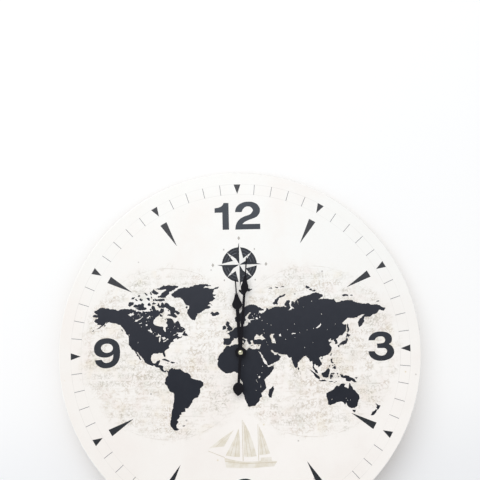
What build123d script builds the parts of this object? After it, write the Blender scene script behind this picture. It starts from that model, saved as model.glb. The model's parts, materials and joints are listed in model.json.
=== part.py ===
"""Round frameless wall clock: a printed board dial, spade hands and a battery quartz movement behind it.

Frame: the origin is on the hand axis, in the plane of the wall. For a viewer in the room +X is to the
right and +Z is up, and the wall is on the +Y side. Distances called back and front are measured from
the wall into the room. Sizes are millimetres, angles are degrees.
"""

import os
from math import cos, radians, sin

from build123d import *

os.makedirs("parts", exist_ok=True)

# Dial board and its print
dial_diameter = 400.0
board_thickness = 5.0
board_edge_round = 0.8
print_thickness = 0.2
print_border = 1.0

# Battery of size AA and its contacts
battery_diameter = 14.5
battery_length = 50.5
battery_nub_diameter = 5.5
battery_nub_length = 1.0
battery_edge_round = 0.5
battery_clearance = 0.15
contact_gap = 0.1
contact_thickness = 0.3
contact_depth = 9.0
contact_tab_width = 2.4
contact_tab_lap = 2.8
contact_peg_gap = 0.3
spring_height = 1.9
spring_crest = 1.6

# Movement case and cover
case_wall = 1.4
case_front_wall = 1.2
case_corner_round = 4.0
case_edge_round = 1.0
partition_thickness = 1.0
room_below_shaft = 10.6
cover_thickness = 1.2
cover_clearance = 0.2
corner_seat_size = 3.6
hook_width = 4.0
hook_thickness = 1.0
hook_reach = 4.4
hook_barb = 1.4
hook_barb_length = 2.0
hook_drop = 7.6
finger_notch_width = 18.0
finger_notch_depth = 5.0

# Centre bush and the pieces that clamp the movement to the board
bush_diameter = 8.0
bush_flange_diameter = 11.0
bush_flange_thickness = 0.8
bush_end_stand = 0.5
bush_fit = 0.02
shaft_hole_clearance = 0.2
gasket_diameter = 24.0
gasket_thickness = 1.0
washer_diameter = 11.4
washer_thickness = 0.5
hex_nut_across_flats = 10.0
hex_nut_thickness = 2.0
hex_nut_fit = 0.05

# Hanger plate, bent from steel strip, with a keyhole for a wall screw
hanger_thickness = 0.8
hanger_width = 22.0
hanger_below_shaft = 11.0
hanger_above_case = 0.4
hanger_bend_radius = 1.2
hanger_wall_gap = 0.6
hanger_tab_height = 23.6
hanger_corner_round = 5.0
keyhole_rise = 10.5
keyhole_head_diameter = 9.0
keyhole_slot_width = 4.0
keyhole_slot_rise = 7.0

# Hand shafts
hour_tube_diameter = 5.1
minute_arbor_diameter = 3.3
minute_stub_diameter = 2.5
minute_bore_diameter = 1.2
second_arbor_end_gap = 0.4
running_clearance = 0.05
hand_fit = 0.02

# Hands
hand_thickness = 0.5
hour_hand_angle = -2.75
hour_hand_length = 81.0
hour_shaft_width = 3.8
hour_spade_length = 34.0
hour_spade_width = 11.2
hour_spade_shoulder = 5.0
hour_foot_slope = 0.55
hour_waist_rise = 10.7
hour_waist_width = 6.7
hour_neck_rise = 18.0
hour_neck_width = 2.4
hour_point_length = 3.0
hour_point_width = 1.4
hour_boss_diameter = 12.0
hour_collar_diameter = 8.0
hour_collar_length = 1.2
hour_collar_gap = 0.4
hour_tube_stand = 0.5
minute_hand_angle = 5.0
minute_hand_length = 105.0
minute_shaft_width = 2.7
minute_spade_length = 40.7
minute_spade_width = 8.4
minute_spade_shoulder = 6.2
minute_foot_slope = 1.5
minute_waist_rise = 12.4
minute_waist_width = 5.3
minute_neck_rise = 19.4
minute_neck_width = 2.2
minute_point_length = 2.5
minute_point_width = 1.4
minute_boss_diameter = 11.0
minute_hand_gap = 1.0
tail_length = 47.2
tail_shaft_width = 3.1
tail_drop_length = 14.6
tail_drop_width = 11.6
tail_drop_shoulder = 4.9
tail_neck_slope = 0.5
tail_tip_slope = 0.65
cap_nut_diameter = 5.6
cap_nut_side = 0.9
cap_nut_height = 2.9
cap_nut_thread_depth = 1.8

# Gear train: tooth counts, centre distances and directions from the hand axis
rotor_pinion_teeth = 8
intermediate_wheel_teeth = 60
intermediate_pinion_teeth = 8
second_wheel_teeth = 32
second_pinion_teeth = 8
third_wheel_teeth = 60
third_pinion_teeth = 8
centre_wheel_teeth = 64
cannon_pinion_teeth = 12
motion_wheel_teeth = 36
motion_pinion_teeth = 10
hour_wheel_teeth = 40
motion_distance = 9.6
motion_direction = 150.0
third_direction = 0.0
intermediate_direction = 85.0
rotor_distance = 6.8
rotor_direction = 90.0
arbor_gap = 0.47

# Tooth form: heights in modules, tooth widths as a share of the pitch
wheel_addendum = 0.9
wheel_dedendum = 1.2
wheel_tip_share = 0.16
wheel_root_share = 0.52
pinion_addendum = 0.7
pinion_dedendum = 1.3
pinion_tip_share = 0.14
pinion_root_share = 0.36

# Arbors, pivots and wheel levels
arbor_diameter = 1.0
rotor_arbor_diameter = 0.8
setting_arbor_diameter = 1.8
arbor_hub_diameter = 2.0
rotor_hub_diameter = 1.0
pivot_clearance = 0.05
pivot_boss_wall = 0.8
pivot_boss_height = 0.6
pivot_floor = 0.1
wheel_gap = 0.5
pinion_lap = 0.2
end_shake = 0.3
light_wheel_thickness = 0.5
second_wheel_thickness = 0.7
third_wheel_thickness = 0.6
centre_wheel_thickness = 0.7
motion_wheel_thickness = 0.8
hour_wheel_thickness = 0.8
wheel_opening_diameter = 3.0
wheel_opening_count = 4
clutch_washer_diameter = 4.6
clutch_washer_thickness = 0.3
clutch_gap = 0.05
minute_flange_diameter = 5.2
minute_flange_thickness = 0.6

# Setting knob
knob_recess = 0.4
knob_diameter = 15.0
knob_thickness = 2.4
knob_ridges = 30
knob_ridge_depth = 0.5
knob_ridge_root_share = 0.7
knob_ridge_tip_share = 0.4
knob_dish_diameter = 9.0
knob_dish_depth = 0.8
knob_clearance = 0.7
knob_floor_gap = 0.1
pocket_wall = 1.2
pocket_floor = 1.1

# Train plate and its posts
plate_gap = 0.3
plate_thickness = 1.0
plate_margin = 1.9
plate_corner_round = 1.5
post_diameter = 3.0
post_pin_diameter = 1.6
post_pin_stand = 0.2
post_fit = 0.05
left_post_reach = 18.5
left_post_height = 14.0
left_post_drop = 7.5
right_post_gap = 0.6
right_post_direction = -54.0
right_post_height = 11.0

# Stepping motor: rotor magnet, stator, coil and their screws
magnet_diameter = 3.4
magnet_length = 1.2
magnet_gap = 0.4
stator_thickness = 0.8
stator_air_gap = 0.5
stator_ring_wall = 1.0
stator_leg_width = 3.6
stator_bar_width = 3.2
coil_diameter = 6.0
coil_length = 22.0
coil_gap = 0.43
coil_room = 1.0
core_thickness = 0.8
core_width = 3.0
core_fit = 0.05
bobbin_tube_diameter = 3.8
bobbin_flange_diameter = 6.8
bobbin_flange_thickness = 0.8
winding_fit = 0.03
coil_leg_gap = 1.3
screw_diameter = 1.6
screw_head_diameter = 3.2
screw_head_height = 0.8
screw_slot_width = 0.5
screw_slot_depth = 0.4
screw_length = 4.4
screw_fit = 0.03
screw_post_diameter = 4.0

# Circuit board with its chip and quartz crystal
circuit_post_gap = 1.0
circuit_height = 25.0
circuit_low_gap = 1.6
circuit_thickness = 1.0
circuit_wall_gap = 0.4
circuit_gap = 0.6
circuit_corner_round = 0.6
circuit_peg_diameter = 2.4
circuit_peg_pin_diameter = 1.2
circuit_peg_inset = 3.0
circuit_peg_fit = 0.05
chip_diameter = 6.0
chip_height = 1.1
chip_rim = 0.3
chip_rise = 10.0
crystal_diameter = 2.0
crystal_length = 6.2
crystal_inset = 2.0
crystal_rise = 15.2
crystal_rest_gap = 0.05


def level(back, axis=(0.0, 0.0)):
    """Plane parallel to the wall, back in front of it: x to the right, y up, extrusions go into the room."""
    return Plane(origin=(axis[0], -back, axis[1]), x_dir=(1, 0, 0), z_dir=(0, -1, 0))


def hand_level(back, angle):
    """Plane parallel to the wall whose y direction lies angle clockwise of twelve o'clock."""
    along = radians(angle)
    return Plane(origin=(0, -back, 0), x_dir=(cos(along), 0, -sin(along)), z_dir=(0, -1, 0))


def from_axis(axis, distance, direction):
    """Point at a distance from an axis, direction counted anticlockwise from three o'clock."""
    return (axis[0] + distance * cos(radians(direction)), axis[1] + distance * sin(radians(direction)))


def module_of(teeth, mate_teeth, distance):
    """Module of a wheel or pinion that meshes with its mate at a centre distance."""
    return 2 * distance / (teeth + mate_teeth)


def wheel_tip_radius(teeth, mate_teeth, distance):
    """Radius over the tooth tips of a wheel."""
    return (teeth / 2 + wheel_addendum) * module_of(teeth, mate_teeth, distance)


def tooth_ring(teeth, root_radius, tip_radius, root_share, tip_share, turn):
    """Face with straight-flanked teeth in the sketch being drawn; turn points at the middle of one tooth."""
    pitch = 360 / teeth
    corners = (
        (root_radius, -root_share / 2),
        (tip_radius, -tip_share / 2),
        (tip_radius, tip_share / 2),
        (root_radius, root_share / 2),
    )
    points = []
    for tooth in range(teeth):
        for radius, offset in corners:
            points.append(from_axis((0, 0), radius, turn + (tooth + offset) * pitch))
    with BuildLine() as outline:
        Polyline(*points, close=True)
    make_face(outline.line)


def wheel_teeth(teeth, mate_teeth, distance, toward_mate):
    """Wheel outline with a gap between two teeth facing its mate."""
    module = module_of(teeth, mate_teeth, distance)
    root_radius = (teeth / 2 - wheel_dedendum) * module
    tip_radius = (teeth / 2 + wheel_addendum) * module
    half_pitch = 180 / teeth
    tooth_ring(teeth, root_radius, tip_radius, wheel_root_share, wheel_tip_share, toward_mate + half_pitch)


def pinion_teeth(teeth, mate_teeth, distance, toward_mate):
    """Pinion outline with one leaf facing its mate."""
    module = module_of(teeth, mate_teeth, distance)
    root_radius = (teeth / 2 - pinion_dedendum) * module
    tip_radius = (teeth / 2 + pinion_addendum) * module
    tooth_ring(teeth, root_radius, tip_radius, pinion_root_share, pinion_tip_share, toward_mate)


upright = (Align.CENTER, Align.CENTER, Align.MIN)
hand_axis = (0.0, 0.0)

# Where the arbors stand
hour_wheel_tip = wheel_tip_radius(hour_wheel_teeth, motion_pinion_teeth, motion_distance)
third_distance = hour_wheel_tip + arbor_diameter / 2 + arbor_gap
centre_wheel_tip = wheel_tip_radius(centre_wheel_teeth, third_pinion_teeth, third_distance)
third_wheel_tip = wheel_tip_radius(third_wheel_teeth, second_pinion_teeth, third_distance)
intermediate_distance = centre_wheel_tip + arbor_diameter / 2 + arbor_gap
motion_axis = from_axis(hand_axis, motion_distance, motion_direction)
third_axis = from_axis(hand_axis, third_distance, third_direction)
intermediate_axis = from_axis(hand_axis, intermediate_distance, intermediate_direction)
rotor_axis = from_axis(intermediate_axis, rotor_distance, rotor_direction)

# Levels from the wall forward through the movement
knob_front = knob_recess + knob_thickness
pocket_floor_back = knob_front + knob_floor_gap
pocket_front = pocket_floor_back + pocket_floor
plate_back = pocket_front + plate_gap
plate_front = plate_back + plate_thickness
arbor_back = plate_back + pivot_floor
intermediate_wheel_back = plate_front + wheel_gap
intermediate_wheel_front = intermediate_wheel_back + light_wheel_thickness
second_wheel_back = intermediate_wheel_front + wheel_gap + pinion_lap
second_wheel_front = second_wheel_back + second_wheel_thickness
third_wheel_back = second_wheel_front + wheel_gap + pinion_lap
third_wheel_front = third_wheel_back + third_wheel_thickness
minute_arbor_back = third_wheel_front + pinion_lap + end_shake
clutch_back = minute_arbor_back + pinion_lap
clutch_front = clutch_back + clutch_washer_thickness
centre_wheel_back = clutch_front + clutch_gap
centre_wheel_front = centre_wheel_back + centre_wheel_thickness
minute_flange_back = centre_wheel_front + clutch_gap
cannon_back = minute_flange_back + minute_flange_thickness
motion_wheel_back = cannon_back + pinion_lap
motion_wheel_front = motion_wheel_back + motion_wheel_thickness
cannon_front = motion_wheel_front + pinion_lap
hour_wheel_back = cannon_front + end_shake
hour_wheel_front = hour_wheel_back + hour_wheel_thickness
train_depth = hour_wheel_front + end_shake + bush_flange_thickness
battery_depth = battery_diameter + 2 * battery_clearance
case_inner_front = max(train_depth, battery_depth)
pivot_boss_back = case_inner_front - pivot_boss_height
arbor_front = case_inner_front - pivot_floor

# Levels from the case forward through the board to the hands
case_depth = case_inner_front + case_front_wall
bush_flange_back = case_inner_front - bush_flange_thickness
hanger_front = case_depth + hanger_thickness
board_back = hanger_front + gasket_thickness
board_front = board_back + board_thickness
print_front = board_front + print_thickness
washer_front = print_front + washer_thickness
hex_nut_front = washer_front + hex_nut_thickness
bush_front = hex_nut_front + bush_end_stand
hour_collar_back = bush_front + hour_collar_gap
hour_hand_back = hour_collar_back + hour_collar_length
hour_hand_front = hour_hand_back + hand_thickness
hour_tube_front = hour_hand_front + hour_tube_stand
minute_hand_back = hour_tube_front + minute_hand_gap
minute_hand_front = minute_hand_back + hand_thickness
minute_stub_front = minute_hand_front + cap_nut_thread_depth
minute_bore_front = minute_hand_back - second_arbor_end_gap
second_arbor_front = minute_bore_front - second_arbor_end_gap

# Stepping motor levels and places
rotor_pinion_back = intermediate_wheel_back - pinion_lap
rotor_pinion_front = intermediate_wheel_front + pinion_lap
magnet_back = rotor_pinion_front + magnet_gap
magnet_front = magnet_back + magnet_length
stator_back = (magnet_back + magnet_front - stator_thickness) / 2
stator_front = stator_back + stator_thickness
core_front = stator_front + core_thickness
stator_hole_radius = magnet_diameter / 2 + stator_air_gap
stator_ring_radius = stator_hole_radius + stator_ring_wall
coil_axis_height = rotor_axis[1] + stator_ring_radius + coil_gap + coil_diameter / 2
stator_leg_reach = coil_length / 2 + coil_leg_gap + stator_leg_width / 2
screw_places = ((-stator_leg_reach, coil_axis_height), (stator_leg_reach, coil_axis_height))

# Inside and outside of the case
battery_room = 2 * contact_gap + 2 * contact_thickness + spring_height
case_inner_width = battery_length + battery_room
case_width = case_inner_width + 2 * case_wall
room_top = coil_axis_height + coil_diameter / 2 + coil_room
room_bottom = -room_below_shaft
bay_top = room_bottom - partition_thickness
bay_height = battery_diameter + 2 * battery_clearance
bay_bottom = bay_top - bay_height
case_top = room_top + case_wall
case_bottom = bay_bottom - case_wall
inner_corner_round = case_corner_round - case_wall
contact_height = bay_height - 2 * (inner_corner_round + cover_clearance)
wall_inside = case_inner_width / 2
battery_height = (bay_top + bay_bottom) / 2
battery_level = case_inner_front - battery_clearance - battery_diameter / 2
battery_right = wall_inside - contact_thickness - contact_gap
battery_left = battery_right - battery_length

# Train plate posts
right_post_distance = third_wheel_tip + post_diameter / 2 + right_post_gap
right_post = from_axis(third_axis, right_post_distance, right_post_direction)
posts = (
    (-left_post_reach, left_post_height),
    (-left_post_reach, -left_post_drop),
    (right_post[0], right_post_height),
    right_post,
)
plate_left = -left_post_reach - plate_margin
plate_right = right_post[0] + plate_margin
plate_bottom = right_post[1] - plate_margin
plate_top = rotor_axis[1] + plate_margin

# Circuit board and contact tails
circuit_left = right_post[0] + post_diameter / 2 + circuit_post_gap
circuit_right = wall_inside - circuit_wall_gap
circuit_width = circuit_right - circuit_left
circuit_bottom = room_bottom + circuit_low_gap
circuit_top = circuit_bottom + circuit_height
circuit_back = plate_front + circuit_gap
circuit_front = circuit_back + circuit_thickness
circuit_middle = (circuit_left + circuit_right) / 2
circuit_pegs = (
    (circuit_middle, circuit_bottom + circuit_peg_inset),
    (circuit_middle, circuit_top - circuit_peg_inset),
)
tail_level = circuit_front + contact_tab_width / 2
tail_slot = contact_thickness + cover_clearance

# Hanger plate places
hanger_shelf_height = case_top + hanger_above_case + hanger_thickness / 2
keyhole_height = case_top + keyhole_rise

# Snap hooks of the cover and their windows in the case
hook_height = room_top - hook_drop
hook_outside = wall_inside - cover_clearance - hook_barb / 2
hook_front = cover_thickness + hook_reach
hook_barb_back = hook_front - hook_barb_length
hook_barb_level = (hook_barb_back + hook_front) / 2

# The board that carries the dial
with BuildPart() as dial_board:
    with Locations(level(board_back)):
        Cylinder(dial_diameter / 2, board_thickness, align=upright)
    fillet(dial_board.edges().filter_by(GeomType.CIRCLE), board_edge_round)
    with Locations(level(board_back)):
        Cylinder(bush_diameter / 2 + shaft_hole_clearance, board_thickness, align=upright, mode=Mode.SUBTRACT)
dial_board.part.label = "dial_board"
export_step(dial_board.part, "parts/dial_board.step")

# The printed film on its front
with BuildPart() as dial_print:
    with BuildSketch(level(board_front)):
        Circle(dial_diameter / 2 - print_border)
        Circle(bush_diameter / 2 + shaft_hole_clearance, mode=Mode.SUBTRACT)
    extrude(amount=print_thickness)
dial_print.part.label = "dial_print"
export_step(dial_print.part, "parts/dial_print.step")

# Moulded case of the movement: a tray open to the wall, with the train room over the battery bay
with BuildPart() as movement_case:
    with BuildSketch(level(0)):
        with Locations((0, (case_top + case_bottom) / 2)):
            RectangleRounded(case_width, case_top - case_bottom, case_corner_round)
    extrude(amount=case_depth)
    fillet(movement_case.faces().sort_by(Axis.Y)[0].edges(), case_edge_round)
    with BuildSketch(level(0)) as train_room:
        with Locations((0, room_bottom)):
            Rectangle(case_inner_width, room_top - room_bottom, align=(Align.CENTER, Align.MIN))
        fillet(train_room.vertices().group_by(Axis.Y)[-1], inner_corner_round)
    extrude(amount=case_inner_front, mode=Mode.SUBTRACT)
    with BuildSketch(level(0)) as battery_bay:
        with Locations((0, bay_bottom)):
            Rectangle(case_inner_width, bay_height, align=(Align.CENTER, Align.MIN))
        fillet(battery_bay.vertices().group_by(Axis.Y)[0], inner_corner_round)
    extrude(amount=case_inner_front, mode=Mode.SUBTRACT)
    with BuildSketch(level(0)):
        with Locations((0, bay_top)):
            Rectangle(case_inner_width, partition_thickness, align=(Align.CENTER, Align.MIN))
    extrude(amount=cover_thickness, mode=Mode.SUBTRACT)
    # Corner seats that the cover lies on
    with BuildSketch(level(cover_thickness)):
        for side in (-1, 1):
            with Locations((side * (wall_inside - corner_seat_size / 2), room_top - corner_seat_size / 2)):
                Rectangle(corner_seat_size, corner_seat_size)
    extrude(amount=case_inner_front - cover_thickness)
    # Posts for the train plate, with a pin each
    with Locations([level(plate_front, post) for post in posts]):
        Cylinder(post_diameter / 2, case_inner_front - plate_front, align=upright)
    with Locations([level(plate_back - post_pin_stand, post) for post in posts]):
        Cylinder(post_pin_diameter / 2, plate_thickness + post_pin_stand, align=upright)
    # Pegs for the circuit board
    with Locations([level(circuit_front, peg) for peg in circuit_pegs]):
        Cylinder(circuit_peg_diameter / 2, case_inner_front - circuit_front, align=upright)
    with Locations([level(circuit_back, peg) for peg in circuit_pegs]):
        Cylinder(circuit_peg_pin_diameter / 2, circuit_thickness, align=upright)
    # Posts that the coil core and the stator are screwed to
    with Locations([level(core_front, place) for place in screw_places]):
        Cylinder(screw_post_diameter / 2, case_inner_front - core_front, align=upright)
    with Locations([level(core_front, place) for place in screw_places]):
        Cylinder(screw_diameter / 2 + screw_fit, screw_length, align=upright, mode=Mode.SUBTRACT)
    # Blind pivots for the arbors in the front wall
    for axis, diameter in (
        (third_axis, arbor_diameter),
        (intermediate_axis, arbor_diameter),
        (rotor_axis, rotor_arbor_diameter),
        (motion_axis, setting_arbor_diameter),
    ):
        with Locations(level(pivot_boss_back, axis)):
            Cylinder(diameter / 2 + pivot_clearance + pivot_boss_wall, pivot_boss_height, align=upright)
        with Locations(level(pivot_boss_back, axis)):
            Cylinder(diameter / 2 + pivot_clearance, pivot_boss_height, align=upright, mode=Mode.SUBTRACT)
    # Hole for the centre bush
    with Locations(level(case_inner_front)):
        Cylinder(bush_diameter / 2 + bush_fit, case_front_wall, align=upright, mode=Mode.SUBTRACT)
    # Windows for the cover's snap hooks, and slots in the partition for the contact tails
    for side in (-1, 1):
        with Locations((side * (wall_inside + case_wall / 2), -hook_barb_level, hook_height)):
            Box(
                case_wall,
                hook_barb_length + 2 * cover_clearance,
                hook_width + 2 * cover_clearance,
                mode=Mode.SUBTRACT,
            )
        with Locations((side * (wall_inside - tail_slot / 2), -tail_level, (room_bottom + bay_top) / 2)):
            Box(tail_slot, contact_tab_width + 2 * cover_clearance, partition_thickness, mode=Mode.SUBTRACT)
    # Notch in the lower wall for a finger behind the battery
    with BuildSketch(level(0)):
        with Locations((0, bay_bottom - case_wall / 2)):
            Rectangle(finger_notch_width, case_wall)
    extrude(amount=finger_notch_depth, mode=Mode.SUBTRACT)
movement_case.part.label = "movement_case"
export_step(movement_case.part, "parts/movement_case.step")

# Cover of the train room, with a pocket for the setting knob and two snap hooks
with BuildPart() as movement_cover:
    with BuildSketch(level(0)) as cover_outline:
        with Locations((0, bay_top)):
            Rectangle(
                case_inner_width - 2 * cover_clearance,
                room_top - bay_top - cover_clearance,
                align=(Align.CENTER, Align.MIN),
            )
        fillet(cover_outline.vertices().group_by(Axis.Y)[-1], inner_corner_round)
    extrude(amount=cover_thickness)
    with Locations(level(0, motion_axis)):
        Cylinder(knob_diameter / 2 + knob_clearance + pocket_wall, pocket_front, align=upright)
    with Locations(level(0, motion_axis)):
        Cylinder(knob_diameter / 2 + knob_clearance, pocket_floor_back, align=upright, mode=Mode.SUBTRACT)
    with Locations(level(0, motion_axis)):
        Cylinder(
            setting_arbor_diameter / 2 + pivot_clearance,
            pocket_front,
            align=upright,
            mode=Mode.SUBTRACT,
        )
    for side in (-1, 1):
        with BuildSketch(Plane.XY.offset(hook_height - hook_width / 2)):
            with BuildLine():
                Polyline(
                    (side * (hook_outside - hook_thickness), -cover_thickness),
                    (side * hook_outside, -cover_thickness),
                    (side * hook_outside, -hook_barb_back),
                    (side * (hook_outside + hook_barb), -hook_barb_back),
                    (side * hook_outside, -hook_front),
                    (side * (hook_outside - hook_thickness), -hook_front),
                    close=True,
                )
            make_face()
        extrude(amount=hook_width)
movement_cover.part.label = "movement_cover"
export_step(movement_cover.part, "parts/movement_cover.step")

# Plate that carries the rear pivots
with BuildPart() as train_plate:
    with BuildSketch(level(plate_back)):
        with Locations(((plate_left + plate_right) / 2, (plate_bottom + plate_top) / 2)):
            RectangleRounded(plate_right - plate_left, plate_top - plate_bottom, plate_corner_round)
        with Locations(posts):
            Circle(post_pin_diameter / 2 + post_fit, mode=Mode.SUBTRACT)
        with Locations(hand_axis, third_axis, intermediate_axis):
            Circle(arbor_diameter / 2 + pivot_clearance, mode=Mode.SUBTRACT)
        with Locations(rotor_axis):
            Circle(rotor_arbor_diameter / 2 + pivot_clearance, mode=Mode.SUBTRACT)
        with Locations(motion_axis):
            Circle(setting_arbor_diameter / 2 + pivot_clearance, mode=Mode.SUBTRACT)
    extrude(amount=plate_thickness)
train_plate.part.label = "train_plate"
export_step(train_plate.part, "parts/train_plate.step")

# Flanged bush through the case and the board
with BuildPart() as centre_bush:
    with Locations(level(bush_flange_back)):
        Cylinder(bush_flange_diameter / 2, bush_flange_thickness, align=upright)
    with Locations(level(case_inner_front)):
        Cylinder(bush_diameter / 2, bush_front - case_inner_front, align=upright)
    with Locations(level(bush_flange_back)):
        Cylinder(
            hour_tube_diameter / 2 + running_clearance,
            bush_front - bush_flange_back,
            align=upright,
            mode=Mode.SUBTRACT,
        )
centre_bush.part.label = "centre_bush"
export_step(centre_bush.part, "parts/centre_bush.step")

# Rubber ring between the hanger plate and the board
with BuildPart() as rubber_gasket:
    with BuildSketch(level(hanger_front)):
        Circle(gasket_diameter / 2)
        Circle(bush_diameter / 2 + shaft_hole_clearance, mode=Mode.SUBTRACT)
    extrude(amount=gasket_thickness)
rubber_gasket.part.label = "rubber_gasket"
export_step(rubber_gasket.part, "parts/rubber_gasket.step")

# Hanger: held by the bush, bent back over the case, then up along the wall to the keyhole
with BuildPart() as hanger_plate:
    with BuildSketch(Plane.YZ):
        with BuildLine():
            FilletPolyline(
                (-(case_depth + hanger_thickness / 2), -hanger_below_shaft),
                (-(case_depth + hanger_thickness / 2), hanger_shelf_height),
                (-(hanger_wall_gap + hanger_thickness / 2), hanger_shelf_height),
                (-(hanger_wall_gap + hanger_thickness / 2), hanger_shelf_height + hanger_tab_height),
                radius=hanger_bend_radius,
            )
        trace(line_width=hanger_thickness)
    extrude(amount=hanger_width / 2, both=True)
    upright_edges = hanger_plate.edges().filter_by(Axis.Y).group_by(Axis.Z)
    fillet(upright_edges[-1] + upright_edges[0], hanger_corner_round)
    with Locations(level(case_depth)):
        Cylinder(
            bush_diameter / 2 + shaft_hole_clearance,
            hanger_thickness,
            align=upright,
            mode=Mode.SUBTRACT,
        )
    with BuildSketch(level(hanger_wall_gap)):
        with Locations((0, keyhole_height)):
            Circle(keyhole_head_diameter / 2)
            Rectangle(keyhole_slot_width, keyhole_slot_rise, align=(Align.CENTER, Align.MIN))
        with Locations((0, keyhole_height + keyhole_slot_rise)):
            Circle(keyhole_slot_width / 2)
    extrude(amount=hanger_thickness, mode=Mode.SUBTRACT)
hanger_plate.part.label = "hanger_plate"
export_step(hanger_plate.part, "parts/hanger_plate.step")

# Washer and nut that clamp the board from the front
with BuildPart() as brass_washer:
    with BuildSketch(level(print_front)):
        Circle(washer_diameter / 2)
        Circle(bush_diameter / 2 + shaft_hole_clearance, mode=Mode.SUBTRACT)
    extrude(amount=washer_thickness)
brass_washer.part.label = "brass_washer"
export_step(brass_washer.part, "parts/brass_washer.step")

with BuildPart() as hex_nut:
    with BuildSketch(level(washer_front)):
        RegularPolygon(hex_nut_across_flats / 2, 6, major_radius=False)
        Circle(bush_diameter / 2 + hex_nut_fit, mode=Mode.SUBTRACT)
    extrude(amount=hex_nut_thickness)
hex_nut.part.label = "hex_nut"
export_step(hex_nut.part, "parts/hex_nut.step")

# Hour wheel with the tube that carries the hour hand
with BuildPart() as hour_wheel:
    with BuildSketch(level(hour_wheel_back)):
        wheel_teeth(hour_wheel_teeth, motion_pinion_teeth, motion_distance, motion_direction)
    extrude(amount=hour_wheel_thickness)
    with Locations(level(hour_wheel_back)):
        Cylinder(hour_tube_diameter / 2, hour_tube_front - hour_wheel_back, align=upright)
    with Locations(level(hour_wheel_back)):
        Cylinder(
            minute_arbor_diameter / 2 + running_clearance,
            hour_tube_front - hour_wheel_back,
            align=upright,
            mode=Mode.SUBTRACT,
        )
hour_wheel.part.label = "hour_wheel"
export_step(hour_wheel.part, "parts/hour_wheel.step")

# Hour hand with its collar on the hour tube
with BuildPart() as hour_collar:
    with BuildSketch(level(hour_collar_back)):
        Circle(hour_collar_diameter / 2)
        Circle(hour_tube_diameter / 2 + hand_fit, mode=Mode.SUBTRACT)
    extrude(amount=hour_collar_length)
hour_collar.part.label = "hour_collar"
export_step(hour_collar.part, "parts/hour_collar.step")

with BuildPart() as hour_hand:
    hour_spade_base = hour_hand_length - hour_spade_length
    with BuildSketch(hand_level(hour_hand_back, hour_hand_angle)):
        with BuildLine():
            Line((0, 0), (hour_shaft_width / 2, 0))
            Line((hour_shaft_width / 2, 0), (hour_shaft_width / 2, hour_spade_base))
            Spline(
                (hour_shaft_width / 2, hour_spade_base),
                (hour_spade_width / 2, hour_spade_base + hour_spade_shoulder),
                (hour_waist_width / 2, hour_spade_base + hour_waist_rise),
                (hour_neck_width / 2, hour_spade_base + hour_neck_rise),
                (hour_point_width / 2, hour_hand_length - hour_point_length),
                tangents=((1, hour_foot_slope), (0, 1)),
            )
            Line((hour_point_width / 2, hour_hand_length - hour_point_length), (0, hour_hand_length))
            mirror(about=Plane.YZ)
        make_face()
        Circle(hour_boss_diameter / 2)
        Circle(hour_tube_diameter / 2 + hand_fit, mode=Mode.SUBTRACT)
    extrude(amount=hand_thickness)
hour_hand.part.label = "hour_hand"
export_step(hour_hand.part, "parts/hour_hand.step")

# Minute arbor: rear tube, clutch flange, cannon pinion and the stub for the hand
with BuildPart() as minute_arbor:
    with Locations(level(minute_arbor_back)):
        Cylinder(minute_arbor_diameter / 2, minute_hand_back - minute_arbor_back, align=upright)
    with Locations(level(minute_hand_back)):
        Cylinder(minute_stub_diameter / 2, minute_stub_front - minute_hand_back, align=upright)
    with Locations(level(minute_flange_back)):
        Cylinder(minute_flange_diameter / 2, minute_flange_thickness, align=upright)
    with BuildSketch(level(cannon_back)):
        pinion_teeth(cannon_pinion_teeth, motion_wheel_teeth, motion_distance, motion_direction)
    extrude(amount=cannon_front - cannon_back)
    with Locations(level(minute_arbor_back)):
        Cylinder(
            minute_bore_diameter / 2,
            minute_bore_front - minute_arbor_back,
            align=upright,
            mode=Mode.SUBTRACT,
        )
minute_arbor.part.label = "minute_arbor"
export_step(minute_arbor.part, "parts/minute_arbor.step")

with BuildPart() as clutch_washer:
    with BuildSketch(level(clutch_back)):
        Circle(clutch_washer_diameter / 2)
        Circle(minute_arbor_diameter / 2 + hand_fit, mode=Mode.SUBTRACT)
    extrude(amount=clutch_washer_thickness)
clutch_washer.part.label = "clutch_washer"
export_step(clutch_washer.part, "parts/clutch_washer.step")

# Minute hand with its drop-shaped tail
with BuildPart() as minute_hand:
    minute_spade_base = minute_hand_length - minute_spade_length
    tail_drop_base = tail_length - tail_drop_length
    with BuildSketch(hand_level(minute_hand_back, minute_hand_angle)):
        with BuildLine():
            Spline(
                (0, -tail_length),
                (tail_drop_width / 2, -(tail_drop_base + tail_drop_shoulder)),
                (tail_shaft_width / 2, -tail_drop_base),
                tangents=((1, tail_tip_slope), (-1, tail_neck_slope)),
            )
            Line((tail_shaft_width / 2, -tail_drop_base), (minute_shaft_width / 2, minute_spade_base))
            Spline(
                (minute_shaft_width / 2, minute_spade_base),
                (minute_spade_width / 2, minute_spade_base + minute_spade_shoulder),
                (minute_waist_width / 2, minute_spade_base + minute_waist_rise),
                (minute_neck_width / 2, minute_spade_base + minute_neck_rise),
                (minute_point_width / 2, minute_hand_length - minute_point_length),
                tangents=((1, minute_foot_slope), (0, 1)),
            )
            Line((minute_point_width / 2, minute_hand_length - minute_point_length), (0, minute_hand_length))
            mirror(about=Plane.YZ)
        make_face()
        Circle(minute_boss_diameter / 2)
        Circle(minute_stub_diameter / 2 + hand_fit, mode=Mode.SUBTRACT)
    extrude(amount=hand_thickness)
minute_hand.part.label = "minute_hand"
export_step(minute_hand.part, "parts/minute_hand.step")

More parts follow.
